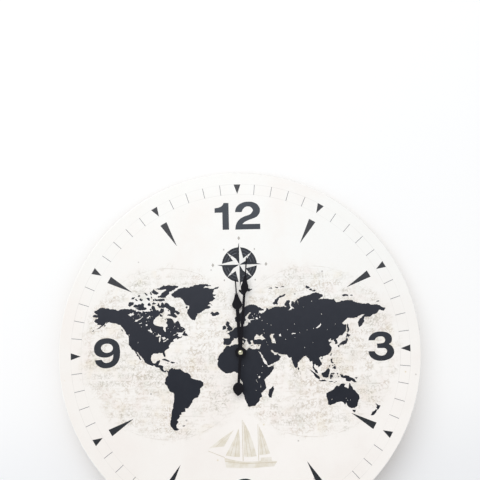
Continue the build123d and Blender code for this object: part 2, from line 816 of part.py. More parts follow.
# Domed nut that holds the minute hand
with BuildPart() as cap_nut:
    cap_nut_side_front = minute_hand_front + cap_nut_side
    cap_nut_front = minute_hand_front + cap_nut_height
    with BuildSketch(Plane.XY):
        with BuildLine():
            Line((0, -minute_hand_front), (cap_nut_diameter / 2, -minute_hand_front))
            Line((cap_nut_diameter / 2, -minute_hand_front), (cap_nut_diameter / 2, -cap_nut_side_front))
            Spline(
                (cap_nut_diameter / 2, -cap_nut_side_front),
                (0, -cap_nut_front),
                tangents=((0, -1), (-1, 0)),
            )
            Line((0, -cap_nut_front), (0, -minute_hand_front))
        make_face()
    revolve(axis=Axis.Y)
    with Locations(level(minute_hand_front)):
        Cylinder(
            minute_stub_diameter / 2 + hand_fit,
            cap_nut_thread_depth + end_shake / 2,
            align=upright,
            mode=Mode.SUBTRACT,
        )
cap_nut.part.label = "cap_nut"
export_step(cap_nut.part, "parts/cap_nut.step")

# Centre wheel, which turns the minute arbor through the friction of the clutch washer
with BuildPart() as centre_wheel:
    with BuildSketch(level(centre_wheel_back)):
        wheel_teeth(centre_wheel_teeth, third_pinion_teeth, third_distance, third_direction)
        Circle(minute_arbor_diameter / 2 + running_clearance, mode=Mode.SUBTRACT)
        with PolarLocations((clutch_washer_diameter / 2 + centre_wheel_tip) / 2, wheel_opening_count):
            Circle(wheel_opening_diameter / 2, mode=Mode.SUBTRACT)
    extrude(amount=centre_wheel_thickness)
centre_wheel.part.label = "centre_wheel"
export_step(centre_wheel.part, "parts/centre_wheel.step")

# Third wheel and pinion
with BuildPart() as third_wheel:
    with Locations(level(arbor_back, third_axis)):
        Cylinder(arbor_diameter / 2, arbor_front - arbor_back, align=upright)
    with BuildSketch(level(third_wheel_back, third_axis)):
        wheel_teeth(third_wheel_teeth, second_pinion_teeth, third_distance, third_direction + 180)
        with PolarLocations((arbor_hub_diameter / 2 + third_wheel_tip) / 2, wheel_opening_count):
            Circle(wheel_opening_diameter / 2, mode=Mode.SUBTRACT)
    extrude(amount=third_wheel_thickness)
    with BuildSketch(level(third_wheel_front, third_axis)):
        pinion_teeth(third_pinion_teeth, centre_wheel_teeth, third_distance, third_direction + 180)
    extrude(amount=centre_wheel_front + pinion_lap - third_wheel_front)
third_wheel.part.label = "third_wheel"
export_step(third_wheel.part, "parts/third_wheel.step")

# Second wheel and pinion, on a long arbor inside the minute arbor
with BuildPart() as second_wheel:
    with Locations(level(arbor_back)):
        Cylinder(arbor_diameter / 2, second_arbor_front - arbor_back, align=upright)
    with BuildSketch(level(second_wheel_back)):
        wheel_teeth(
            second_wheel_teeth,
            intermediate_pinion_teeth,
            intermediate_distance,
            intermediate_direction,
        )
    extrude(amount=second_wheel_thickness)
    with BuildSketch(level(second_wheel_front)):
        pinion_teeth(second_pinion_teeth, third_wheel_teeth, third_distance, third_direction)
    extrude(amount=third_wheel_front + pinion_lap - second_wheel_front)
second_wheel.part.label = "second_wheel"
export_step(second_wheel.part, "parts/second_wheel.step")

# Intermediate wheel and pinion
with BuildPart() as intermediate_wheel:
    with Locations(level(arbor_back, intermediate_axis)):
        Cylinder(arbor_diameter / 2, arbor_front - arbor_back, align=upright)
    with BuildSketch(level(intermediate_wheel_back, intermediate_axis)):
        wheel_teeth(intermediate_wheel_teeth, rotor_pinion_teeth, rotor_distance, rotor_direction)
    extrude(amount=light_wheel_thickness)
    with BuildSketch(level(intermediate_wheel_front, intermediate_axis)):
        pinion_teeth(
            intermediate_pinion_teeth,
            second_wheel_teeth,
            intermediate_distance,
            intermediate_direction + 180,
        )
    extrude(amount=second_wheel_front + pinion_lap - intermediate_wheel_front)
intermediate_wheel.part.label = "intermediate_wheel"
export_step(intermediate_wheel.part, "parts/intermediate_wheel.step")

# Rotor of the stepping motor: pinion and arbor, and the magnet on it
with BuildPart() as rotor_pinion:
    with Locations(level(arbor_back, rotor_axis)):
        Cylinder(rotor_arbor_diameter / 2, arbor_front - arbor_back, align=upright)
    with BuildSketch(level(rotor_pinion_back, rotor_axis)):
        pinion_teeth(rotor_pinion_teeth, intermediate_wheel_teeth, rotor_distance, rotor_direction + 180)
    extrude(amount=rotor_pinion_front - rotor_pinion_back)
    with Locations(level(rotor_pinion_front, rotor_axis)):
        Cylinder(rotor_hub_diameter / 2, magnet_gap, align=upright)
rotor_pinion.part.label = "rotor_pinion"
export_step(rotor_pinion.part, "parts/rotor_pinion.step")

with BuildPart() as rotor_magnet:
    with BuildSketch(level(magnet_back, rotor_axis)):
        Circle(magnet_diameter / 2)
        Circle(rotor_arbor_diameter / 2 + hand_fit, mode=Mode.SUBTRACT)
    extrude(amount=magnet_length)
rotor_magnet.part.label = "rotor_magnet"
export_step(rotor_magnet.part, "parts/rotor_magnet.step")

# Setting arbor with the motion wheel and pinion, and the knob pressed on its rear end
with BuildPart() as setting_arbor:
    with Locations(level(knob_recess + knob_dish_depth, motion_axis)):
        Cylinder(setting_arbor_diameter / 2, arbor_front - knob_recess - knob_dish_depth, align=upright)
    with BuildSketch(level(motion_wheel_back, motion_axis)):
        wheel_teeth(motion_wheel_teeth, cannon_pinion_teeth, motion_distance, motion_direction + 180)
    extrude(amount=motion_wheel_thickness)
    with BuildSketch(level(motion_wheel_front, motion_axis)):
        pinion_teeth(motion_pinion_teeth, hour_wheel_teeth, motion_distance, motion_direction + 180)
    extrude(amount=hour_wheel_front + pinion_lap - motion_wheel_front)
setting_arbor.part.label = "setting_arbor"
export_step(setting_arbor.part, "parts/setting_arbor.step")

with BuildPart() as setting_knob:
    with BuildSketch(level(knob_recess, motion_axis)):
        tooth_ring(
            knob_ridges,
            knob_diameter / 2 - knob_ridge_depth,
            knob_diameter / 2,
            knob_ridge_root_share,
            knob_ridge_tip_share,
            0,
        )
    extrude(amount=knob_thickness)
    with Locations(level(knob_recess, motion_axis)):
        Cylinder(knob_dish_diameter / 2, knob_dish_depth, align=upright, mode=Mode.SUBTRACT)
    with Locations(level(knob_recess, motion_axis)):
        Cylinder(setting_arbor_diameter / 2 + hand_fit, knob_thickness, align=upright, mode=Mode.SUBTRACT)
setting_knob.part.label = "setting_knob"
export_step(setting_knob.part, "parts/setting_knob.step")

# Stator plate round the rotor, with two legs to the ends of the coil core
with BuildPart() as stator:
    with BuildSketch(level(stator_back)):
        with Locations(rotor_axis):
            Circle(stator_ring_radius)
        with Locations((0, rotor_axis[1])):
            Rectangle(2 * stator_leg_reach + stator_leg_width, stator_bar_width)
        for place in screw_places:
            with Locations((place[0], rotor_axis[1] - stator_bar_width / 2)):
                Rectangle(
                    stator_leg_width,
                    coil_axis_height - rotor_axis[1] + (stator_bar_width + stator_leg_width) / 2,
                    align=(Align.CENTER, Align.MIN),
                )
        with Locations(rotor_axis):
            Circle(stator_hole_radius, mode=Mode.SUBTRACT)
        with Locations(screw_places):
            Circle(screw_diameter / 2 + screw_fit, mode=Mode.SUBTRACT)
    extrude(amount=stator_thickness)
stator.part.label = "stator"
export_step(stator.part, "parts/stator.step")

# Coil: core strip, bobbin and winding
with BuildPart() as coil_core:
    with BuildSketch(level(stator_front)):
        with Locations((0, coil_axis_height)):
            Rectangle(2 * stator_leg_reach + stator_leg_width, core_width)
        with Locations(screw_places):
            Circle(screw_diameter / 2 + screw_fit, mode=Mode.SUBTRACT)
    extrude(amount=core_thickness)
coil_core.part.label = "coil_core"
export_step(coil_core.part, "parts/coil_core.step")

coil_level = (stator_front + core_front) / 2
coil_end = Plane(origin=(-coil_length / 2, -coil_level, coil_axis_height), x_dir=(0, 1, 0), z_dir=(1, 0, 0))

with BuildPart() as coil_bobbin:
    with BuildSketch(coil_end):
        Circle(bobbin_tube_diameter / 2)
    extrude(amount=coil_length)
    with BuildSketch(coil_end, coil_end.offset(coil_length - bobbin_flange_thickness)):
        Circle(bobbin_flange_diameter / 2)
    extrude(amount=bobbin_flange_thickness)
    with BuildSketch(coil_end):
        Rectangle(core_thickness + 2 * core_fit, core_width + 2 * core_fit)
    extrude(amount=coil_length, mode=Mode.SUBTRACT)
coil_bobbin.part.label = "coil_bobbin"
export_step(coil_bobbin.part, "parts/coil_bobbin.step")

with BuildPart() as coil_winding:
    with BuildSketch(coil_end.offset(bobbin_flange_thickness + winding_fit)):
        Circle(coil_diameter / 2)
        Circle(bobbin_tube_diameter / 2 + winding_fit, mode=Mode.SUBTRACT)
    extrude(amount=coil_length - 2 * (bobbin_flange_thickness + winding_fit))
coil_winding.part.label = "coil_winding"
export_step(coil_winding.part, "parts/coil_winding.step")

# Two screws through the stator and the core
with BuildPart() as stator_screws:
    with Locations([level(stator_back - screw_head_height, place) for place in screw_places]):
        Cylinder(screw_head_diameter / 2, screw_head_height, align=upright)
    with Locations([level(stator_back, place) for place in screw_places]):
        Cylinder(screw_diameter / 2, screw_length, align=upright)
    with BuildSketch(level(stator_back - screw_head_height)):
        with Locations(screw_places):
            Rectangle(screw_head_diameter, screw_slot_width)
    extrude(amount=screw_slot_depth, mode=Mode.SUBTRACT)
stator_screws.part.label = "stator_screws"
export_step(stator_screws.part, "parts/stator_screws.step")

# Circuit board on its pegs, with the chip under a drop of resin and the quartz crystal
with BuildPart() as circuit_board:
    with BuildSketch(level(circuit_back)):
        with Locations((circuit_middle, (circuit_bottom + circuit_top) / 2)):
            RectangleRounded(circuit_width, circuit_height, circuit_corner_round)
        with Locations(circuit_pegs):
            Circle(circuit_peg_pin_diameter / 2 + circuit_peg_fit, mode=Mode.SUBTRACT)
    extrude(amount=circuit_thickness)
circuit_board.part.label = "circuit_board"
export_step(circuit_board.part, "parts/circuit_board.step")

with BuildPart() as clock_chip:
    chip_foot = (circuit_middle, -circuit_back, circuit_bottom + chip_rise)
    with BuildSketch(Plane(origin=chip_foot, x_dir=(1, 0, 0), z_dir=(0, 0, 1))):
        with BuildLine():
            Line((0, 0), (chip_diameter / 2, 0))
            Line((chip_diameter / 2, 0), (chip_diameter / 2, chip_rim))
            Spline((chip_diameter / 2, chip_rim), (0, chip_height), tangents=((0, 1), (-1, 0)))
            Line((0, chip_height), (0, 0))
        make_face()
    revolve(axis=Axis(chip_foot, (0, 1, 0)))
clock_chip.part.label = "clock_chip"
export_step(clock_chip.part, "parts/clock_chip.step")

with BuildPart() as quartz_crystal:
    crystal_level = circuit_back - crystal_rest_gap - crystal_diameter / 2
    with BuildSketch(
        Plane(
            origin=(circuit_right - crystal_inset, -crystal_level, circuit_bottom + crystal_rise),
            x_dir=(1, 0, 0),
            z_dir=(0, 0, 1),
        )
    ):
        Circle(crystal_diameter / 2)
    extrude(amount=crystal_length)
quartz_crystal.part.label = "quartz_crystal"
export_step(quartz_crystal.part, "parts/quartz_crystal.step")

# Flat contact at the battery's positive end, with a tail up to the circuit board
with BuildPart() as contact_positive:
    with Locations((wall_inside - contact_thickness / 2, -battery_level, battery_height)):
        Box(contact_thickness, contact_depth, contact_height)
    tail_top = circuit_bottom + contact_tab_lap
    tab_reach = wall_inside - circuit_middle - circuit_peg_diameter / 2 - contact_peg_gap
    tail_bottom = battery_height
    with Locations(
        (
            wall_inside - contact_thickness / 2,
            -tail_level,
            (tail_top + tail_bottom) / 2,
        )
    ):
        Box(contact_thickness, contact_tab_width, tail_top - tail_bottom)
    with Locations(
        (
            wall_inside - tab_reach / 2,
            -(circuit_front + contact_thickness / 2),
            tail_top - contact_tab_width / 2,
        )
    ):
        Box(tab_reach, contact_thickness, contact_tab_width)
contact_positive.part.label = "contact_positive"
export_step(contact_positive.part, "parts/contact_positive.step")

# Sprung contact at the negative end, with a strip along the partition to the circuit board
with BuildPart() as contact_negative:
    spring_left = -wall_inside
    spring_root = spring_left + contact_thickness
    spring_tip = spring_root + spring_height
    strip_right = circuit_middle - circuit_peg_diameter / 2 - contact_peg_gap
    with BuildSketch(Plane.XZ.offset(battery_level - contact_depth / 2)):
        with BuildLine():
            Polyline(
                (spring_left, battery_height - contact_height / 2),
                (spring_root, battery_height - contact_height / 2),
                (spring_tip, battery_height - spring_crest),
                (spring_tip, battery_height + spring_crest),
                (spring_root, battery_height + contact_height / 2),
                (spring_left, battery_height + contact_height / 2),
                (spring_tip - contact_thickness, battery_height + spring_crest),
                (spring_tip - contact_thickness, battery_height - spring_crest),
                close=True,
            )
        make_face()
    extrude(amount=contact_depth)
    with Locations(
        (
            spring_left + contact_thickness / 2,
            -tail_level,
            (battery_height + contact_height / 2 + room_bottom) / 2,
        )
    ):
        Box(contact_thickness, contact_tab_width, room_bottom - battery_height - contact_height / 2)
    with Locations(
        (
            (spring_left + strip_right) / 2,
            -tail_level,
            room_bottom + contact_thickness / 2,
        )
    ):
        Box(strip_right - spring_left, contact_tab_width, contact_thickness)
    with Locations(
        (
            strip_right - contact_tab_width / 2,
            -(circuit_front + contact_thickness / 2),
            (room_bottom + circuit_bottom + contact_tab_lap) / 2,
        )
    ):
        Box(contact_tab_width, contact_thickness, circuit_bottom + contact_tab_lap - room_bottom)
contact_negative.part.label = "contact_negative"
export_step(contact_negative.part, "parts/contact_negative.step")

# The battery
with BuildPart() as battery:
    battery_foot = (battery_left, -battery_level, battery_height)
    battery_end = Plane(origin=battery_foot, x_dir=(0, 1, 0), z_dir=(1, 0, 0))
    with BuildSketch(battery_end):
        Circle(battery_diameter / 2)
    extrude(amount=battery_length - battery_nub_length)
    fillet(battery.edges().filter_by(GeomType.CIRCLE), battery_edge_round)
    with BuildSketch(battery_end.offset(battery_length - battery_nub_length)):
        Circle(battery_nub_diameter / 2)
    extrude(amount=battery_nub_length)
battery.part.label = "battery"
export_step(battery.part, "parts/battery.step")
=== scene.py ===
import json
from math import cos, log, pi, radians, sin, sqrt, tan

import bmesh
import bpy
from mathutils import Matrix, Vector, geometry, noise


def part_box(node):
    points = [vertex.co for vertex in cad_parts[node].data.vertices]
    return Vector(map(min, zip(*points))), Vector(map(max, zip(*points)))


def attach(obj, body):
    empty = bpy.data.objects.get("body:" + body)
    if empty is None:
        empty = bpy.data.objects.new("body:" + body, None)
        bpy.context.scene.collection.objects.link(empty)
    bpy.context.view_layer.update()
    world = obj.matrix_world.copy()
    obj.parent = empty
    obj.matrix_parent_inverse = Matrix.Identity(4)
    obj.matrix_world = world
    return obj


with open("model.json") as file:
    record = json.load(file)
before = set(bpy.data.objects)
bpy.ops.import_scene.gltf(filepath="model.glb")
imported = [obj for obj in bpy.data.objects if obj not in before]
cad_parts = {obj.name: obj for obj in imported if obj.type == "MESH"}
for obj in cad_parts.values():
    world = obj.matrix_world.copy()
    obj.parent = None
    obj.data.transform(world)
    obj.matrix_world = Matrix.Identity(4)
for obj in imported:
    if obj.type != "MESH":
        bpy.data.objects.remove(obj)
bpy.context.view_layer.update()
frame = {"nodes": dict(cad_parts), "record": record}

# The dial faces -Y, with +X to the right and +Z up for a viewer in the room. Sizes on the dial are in
# millimetres from the hand axis and become metres when a piece is made.
millimetre = 0.001
body = "clock_body"
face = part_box("dial_print")[0].y
board_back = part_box("dial_board")[1].y

# Printed layers, one on top of the other: how far each rises, sinks into what is under it, and spreads
ink_step = 0.04
ink_sink = 0.01
ink_spread = 0.2

# Steps between two points of a curved outline, and the distance at which two points count as one
curve_steps = 8
merge_distance = 0.0001

# Heights between which the black inks lighten towards the top of the dial with a painted sheen, in metres
ink_sheen_heights = (-0.1, 0.19)

# Hour marks and minute track; the print sits a little off the hand axis
minutes, hours, quarters = 60, 12, 4
print_centre = (0.7, -0.4)
track_outer, track_inner = 187.3, 175.9
tick_width = 0.6
hour_mark_base, hour_mark_tip, hour_mark_width = 187.1, 176.4, 7.6
wedge_base, wedge_tip, wedge_width = 166.7, 137.3, 8.0

# Compass rose
rose_centre = (1.2, 96.4)
rose_radius = 19.4
rose_reach = 24.8
rose_shoulder = (4.2, 7.2)
rose_diagonal_shoulder = (2.0, 7.4)
rose_rings = ((13.3, 0.55), (16.6, 0.3))
rose_dots = ((29.6, 2.3), (24.2, 1.3))

# World map in the Miller cylindrical projection. Fields of noise, each with its reach and length, roughen the
# coasts, and more so beyond the latitude where fjords begin.
map_radius = 51.94
map_meridian_x = -9.92
map_equator_z = -26.7
coast_seed = 3
coast_step = 0.5
coast_warp = ((0.5, 2.4), (0.28, 1.1), (0.12, 0.5))
fjord_latitude, fjord_gain = 55.0, 1.2
pond_size = 0.33

# Paper of the print: the heights over which it turns from warm below to a greyer tone at the top, partly a painted
# shade against the lamp's stronger light there, and the run to the left over which painted shade greys it
warm_and_shaded_heights, painted_shade_run = (-80.0, 150.0), (60.0, -190.0)

# Two hemispheres of an old chart in the paper, by their middles: soft edge, how far it frays, width of the rim and
# the heights at which it shows
hemispheres = ((-79.8, 0.6), (78.9, -0.3))
hemisphere_radius = 93.3
hemisphere_edge = (hemisphere_radius + 7.0, hemisphere_radius - 9.0)
hemisphere_fray = 34.0
rim_width, rim_heights = 0.9, (62.0, 88.0)

# In them lie stains, each with its colour, shift and scale of its noise, and strength, and lines of writing that
# wander by a drift, each kind with its pitch, slope, pace of the pen's loops, and strength
stains = (("e3d2aa", 300.0, 0.04, 0.26), ("c9ccbd", 500.0, 0.07, 0.28), ("e8d2c8", 700.0, 0.05, 0.24))
writing = ((8.4, 0.02, 0.32, 0.4), (12.6, -0.22, 0.21, 0.36))
line_drift = 10.0

# Depth of the bumps in every finish, and where the lacquer of the board ends and its raw back begins
relief_depth = 0.0002
lacquer_end, fibre_start = board_back - 0.0006, board_back - 0.0002

# Bare ends and band of the battery, as shares of its length on a smooth scale
sleeve_start, band_start, sleeve_end = 0.0012, 0.76, 0.997


# Node trees


class Nodes:
    """Adds nodes to one tree; a value given to a socket is a number, a tuple or another socket."""

    def __init__(self, tree):
        self.tree = tree

    def feed(self, socket, value):
        if isinstance(value, bpy.types.NodeSocket):
            self.tree.links.new(value, socket)
        else:
            socket.default_value = value

    def add(self, kind, inputs=None, **settings):
        node = self.tree.nodes.new(kind)
        for name, value in settings.items():
            setattr(node, name, value)
        for key, value in (inputs or {}).items():
            self.feed(node.inputs[key], value)
        return node

    def math(self, operation, *values):
        return self.add("ShaderNodeMath", dict(enumerate(values)), operation=operation).outputs[0]

    def times(self, first, second):
        return self.math("MULTIPLY", first, second)

    def gap(self, first, second):
        """Distance between two numbers."""
        return self.math("ABSOLUTE", self.math("SUBTRACT", first, second))

    def swing(self, value, reach):
        """Noise about one half, made a shift about zero."""
        return self.times(self.math("SUBTRACT", value, 0.5), reach)

    def vector(self, operation, *values):
        node = self.add("ShaderNodeVectorMath", operation=operation)
        for socket, value in zip(node.inputs, values):
            self.feed(socket, value)
        return node.outputs["Value" if operation == "DISTANCE" else "Vector"]

    def scaled(self, vector, factor):
        node = self.add("ShaderNodeVectorMath", {"Vector": vector, "Scale": factor}, operation="SCALE")
        return node.outputs["Vector"]

    def ramp(self, value, low, high, to_low=0.0, to_high=1.0, shape="SMOOTHSTEP"):
        """Smooth or straight rise from to_low at low to to_high at high."""
        node = self.add(
            "ShaderNodeMapRange",
            {"Value": value, "From Min": low, "From Max": high, "To Min": to_low, "To Max": to_high},
            interpolation_type=shape,
        )
        return node.outputs["Result"]

    def mix(self, factor, first, second):
        node = self.add("ShaderNodeMix", data_type="RGBA")
        colours = [s for s in node.inputs if s.type == "RGBA"]
        self.feed(node.inputs["Factor"], factor)
        self.feed(colours[0], first)
        self.feed(colours[1], second)
        return next(s for s in node.outputs if s.type == "RGBA")

    def noise(self, vector, scale, detail=3.0, roughness=0.5):
        inputs = {"Vector": vector, "Scale": scale, "Detail": detail, "Roughness": roughness}
        return self.add("ShaderNodeTexNoise", inputs).outputs[0]

    def patches(self, vector, scale, low, high, detail=3.0, roughness=0.5, most=1.0):
        """Soft patches: nothing where noise is under low, the most where it is over high."""
        return self.ramp(self.noise(vector, scale, detail, roughness), low, high, 0.0, most)

    def axes(self, vector):
        return self.add("ShaderNodeSeparateXYZ", {0: vector}).outputs

    def point(self, x, y, z):
        return self.add("ShaderNodeCombineXYZ", {0: x, 1: y, 2: z}).outputs[0]


def srgb(code):
    """Linear colour of a six-digit web colour."""
    channels = [int(code[i : i + 2], 16) / 255 for i in (0, 2, 4)]
    return tuple(c / 12.92 if c <= 0.04045 else ((c + 0.055) / 1.055) ** 2.4 for c in channels) + (1.0,)


def new_group(name, inputs, outputs):
    """Shader group that takes a place and {name: default}; returns the group, its nodes, its inputs and its outputs."""
    group = bpy.data.node_groups.new(name, "ShaderNodeTree")
    for key, value in {"Vector": (0.0, 0.0, 0.0), **inputs}.items():
        kind = "Float" if isinstance(value, float) else "Color" if len(value) == 4 else "Vector"
        socket = group.interface.new_socket(key, in_out="INPUT", socket_type="NodeSocket" + kind)
        socket.default_value = value
    for key, kind in outputs.items():
        group.interface.new_socket(key, in_out="OUTPUT", socket_type="NodeSocket" + kind)
    nodes = Nodes(group)
    return group, nodes, nodes.add("NodeGroupInput").outputs, nodes.add("NodeGroupOutput").inputs


def paint_group(name, **inputs):
    """Shader group that gives a colour, made from one of its own and a second that clouds it or takes its place."""
    white = (1.0, 1.0, 1.0, 1.0)
    return new_group(name, {"Colour": white, "Cloud": white, **inputs}, {"Colour": "Color"})


def mottle_group():
    """One colour clouded with another."""
    group, n, given, out = paint_group("mottled_colour", Scale=40.0, Amount=0.5)
    cloud = n.patches(given["Vector"], given["Scale"], 0.35, 0.68, detail=4.0, roughness=0.6)
    n.feed(out["Colour"], n.mix(n.times(cloud, given["Amount"]), given["Colour"], given["Cloud"]))
    return group


def relief_group(name, **inputs):
    """Shader group that gives a height for bumps, and a roughness that changes by a spread about its own value."""
    return new_group(name, {"Roughness": 0.5, "Spread": 0.1, **inputs}, {"Height": "Float", "Roughness": "Float"})


def grain_group():
    """Fine even grain of a moulded or sprayed surface, as a height and a roughness."""
    group, n, given, out = relief_group("surface_grain", Scale=900.0)
    broad = n.noise(given["Vector"], n.times(given["Scale"], 0.06))
    n.feed(out["Height"], n.noise(given["Vector"], given["Scale"], detail=2.0))
    n.feed(out["Roughness"], n.math("ADD", given["Roughness"], n.swing(broad, given["Spread"])))
    return group


def drawn_group():
    """Fine streaks along one direction, left by rolling, brushing or turning."""
    group, n, given, out = relief_group("drawn_streaks", Stretch=(20.0, 900.0, 900.0))
    streak = n.noise(n.vector("MULTIPLY", given["Vector"], given["Stretch"]), 1.0)
    n.feed(out["Height"], streak)
    n.feed(out["Roughness"], n.math("ADD", given["Roughness"], n.swing(streak, given["Spread"])))
    return group


def ring_group():
    """Mask of a thin printed circle."""
    inputs = {"Centre": (0.0, 0.0, 0.0), "Radius": 10.0, "Width": 0.5}
    group, n, given, out = new_group("printed_circle", inputs, {"Mask": "Float"})
    reach = n.vector("DISTANCE", given["Vector"], given["Centre"])
    away = n.gap(reach, given["Radius"])
    half = n.times(given["Width"], 0.5)
    n.feed(out["Mask"], n.ramp(away, half, n.times(half, 0.4)))
    return group


mottled, grained, drawn, circle = mottle_group(), grain_group(), drawn_group(), ring_group()


def film_group():
    """Ground of the dial's print: warm paper with painted shade towards its top and left, two faint hemispheres filled
    with pen strokes, stains and track lines.
    """
    group, n, given, out = paint_group("chart_ground")
    x, _, z = n.axes(n.scaled(given["Vector"], 1 / millimetre))
    dial = n.point(x, 0.0, z)

    def ring(centre, radius, width):
        inputs = {"Vector": dial, "Centre": (centre[0], 0.0, centre[1]), "Radius": radius, "Width": width}
        return n.add("ShaderNodeGroup", inputs, node_tree=circle).outputs["Mask"]

    def shade(under, code, *masks):
        """Colour laid over another where all masks are one."""
        amount = masks[0]
        for mask in masks[1:]:
            amount = n.times(amount, mask)
        return n.mix(amount, under, srgb(code) if isinstance(code, str) else code)

    def on_line(line, pace, apart, rise=0.0):
        """Place in a pattern that runs along a line of writing and is another on the next line."""
        return n.point(n.times(x, pace), n.times(line, apart), rise)

    # Paper, warmer below, with painted shade that greys it towards the top and to the left where the lamp lights it
    # more, with broad and fine clouds
    colour = n.mix(n.ramp(z, *warm_and_shaded_heights), given["Colour"], given["Cloud"])
    colour = shade(colour, "e6e2dc", n.ramp(x, *painted_shade_run), 0.28)
    colour = shade(colour, "f3ebe5", n.patches(dial, 0.014, 0.4, 0.72, detail=4.0, roughness=0.6), 0.55)
    colour = shade(colour, "e9e2da", n.patches(dial, 0.7, 0.56, 0.74, roughness=0.6), 0.3)

    # Hemispheres with ragged soft edges, and the stains in them
    ragged = n.swing(n.noise(dial, 0.06, detail=4.0, roughness=0.6), hemisphere_fray)
    inside = 0.0
    for centre in hemispheres:
        away = n.math("ADD", n.vector("DISTANCE", dial, (centre[0], 0.0, centre[1])), ragged)
        inside = n.math("MAXIMUM", inside, n.ramp(away, *hemisphere_edge))
    for code, shift, scale, amount in stains:
        stain = n.patches(n.vector("ADD", dial, (shift, 0.0, 0.0)), scale, 0.5, 0.74, roughness=0.6)
        colour = shade(colour, code, stain, inside, amount)

    # Lines of looped pen strokes that look like faded writing but spell nothing
    brown = n.mix(n.patches(dial, 0.03, 0.4, 0.6, detail=2.0), srgb("a89272"), srgb("97917c"))
    for pitch, slope, pace, weight in writing:
        drift = n.times(n.noise(dial, 0.012, detail=1.0), line_drift)
        row = n.math("DIVIDE", n.math("ADD", n.math("MULTIPLY_ADD", x, slope, z), drift), pitch)
        line = n.math("FLOOR", row)
        tall = n.gap(n.math("FRACT", row), 0.5)
        pen = n.noise(on_line(line, pace, 7.3, n.times(z, pace)), 1.0, detail=1.5)
        stroke = n.ramp(n.gap(pen, 0.5), 0.066, 0.015)
        word = n.patches(on_line(line, 0.09, 3.1), 1.0, 0.38, 0.5, detail=1.0)
        patch = n.patches(n.vector("ADD", dial, (pitch * 40.0, 0.0, 0.0)), 0.025, 0.36, 0.6, detail=2.0)
        colour = shade(colour, brown, stroke, n.ramp(tall, 0.5, 0.3), word, patch, inside, weight)
        dash = n.patches(on_line(line, 0.16, 5.7), 1.0, 0.44, 0.62, detail=2.0)
        colour = shade(colour, brown, n.ramp(tall, 0.13, 0.03), dash, inside, 0.14)
    blotch = n.patches(dial, 0.16, 0.56, 0.74, roughness=0.6)
    colour = shade(colour, "b3a78e", blotch, inside, 0.25)

    # Worn rims of the hemispheres, above and below only, and the two circles of the minute track
    for centre in hemispheres:
        crown = n.ramp(n.gap(z, centre[1]), *rim_heights)
        worn = n.patches(dial, 0.08, 0.4, 0.6)
        colour = shade(colour, "a89a86", ring(centre, hemisphere_radius, rim_width), crown, worn, 0.3)
    faded = n.ramp(n.noise(dial, 0.03), 0.35, 0.65, 0.35, 1.0)
    for radius in (track_inner, track_outer):
        colour = shade(colour, "9a9894", ring(print_centre, radius, tick_width), faded, 0.24)

    # A few ochre and grey spots
    spots = n.add("ShaderNodeTexVoronoi", {"Vector": dial, "Scale": 0.075, "Randomness": 1.0})
    chosen = n.axes(spots.outputs["Color"])
    edge = n.math("MULTIPLY_ADD", chosen[1], 0.1, 0.02)
    spot = n.ramp(spots.outputs["Distance"], edge, n.times(edge, 0.3))
    spot_colour = n.mix(n.ramp(chosen[2], 0.45, 0.5), srgb("d6c48f"), srgb("807c76"))
    n.feed(out["Colour"], shade(colour, spot_colour, spot, n.ramp(chosen[0], 0.42, 0.44), 0.6))
    return group


def sheened_ink_group():
    """Black printing ink, a little clouded, lightened by a painted sheen from one colour low on the dial to another at
    its top.
    """
    group, n, given, out = paint_group("printed_ink")
    height = n.ramp(n.axes(given["Vector"])[2], *ink_sheen_heights, shape="LINEAR")
    cloud = n.patches(given["Vector"], 90.0, 0.35, 0.7, detail=4.0, roughness=0.6, most=0.06)
    n.feed(out["Colour"], n.mix(n.math("ADD", n.math("POWER", height, 1.5), cloud), given["Colour"], given["Cloud"]))
    return group


def board_group():
    """White lacquer on the front and edge of the board, raw fibreboard on its back."""
    group, n, given, out = paint_group("lacquer_and_fibre")
    x, y, z = n.axes(given["Vector"])
    fibres = n.patches(n.point(x, 0.0, z), 900.0, 0.35, 0.7, detail=5.0, roughness=0.7)
    raw = n.mix(fibres, given["Cloud"], srgb("8f734d"))
    lacquer = n.mix(n.patches(given["Vector"], 30.0, 0.4, 0.7, most=0.5), given["Colour"], srgb("f1efea"))
    n.feed(out["Colour"], n.mix(n.ramp(y, lacquer_end, fibre_start), lacquer, raw))
    return group


def battery_group():
    """Plain slate sleeve with a grey band towards the positive end and bare metal at both ends."""
    low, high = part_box("battery")
    group, n, given, out = paint_group("battery_bands")
    along = n.ramp(n.axes(given["Vector"])[0], low.x, high.x)
    speck = n.noise(given["Vector"], 700.0)
    metal = n.mix(n.ramp(speck, 0.4, 0.7), srgb("b9bab8"), srgb("cfcfcc"))
    printed_colour = n.mix(n.math("GREATER_THAN", along, band_start), given["Colour"], given["Cloud"])
    colour = n.mix(n.ramp(speck, 0.4, 0.7, 0.0, 0.08), printed_colour, metal)
    ends = n.math("MAXIMUM", n.math("LESS_THAN", along, sleeve_start), n.math("GREATER_THAN", along, sleeve_end))
    n.feed(out["Colour"], n.mix(ends, colour, metal))
    return group


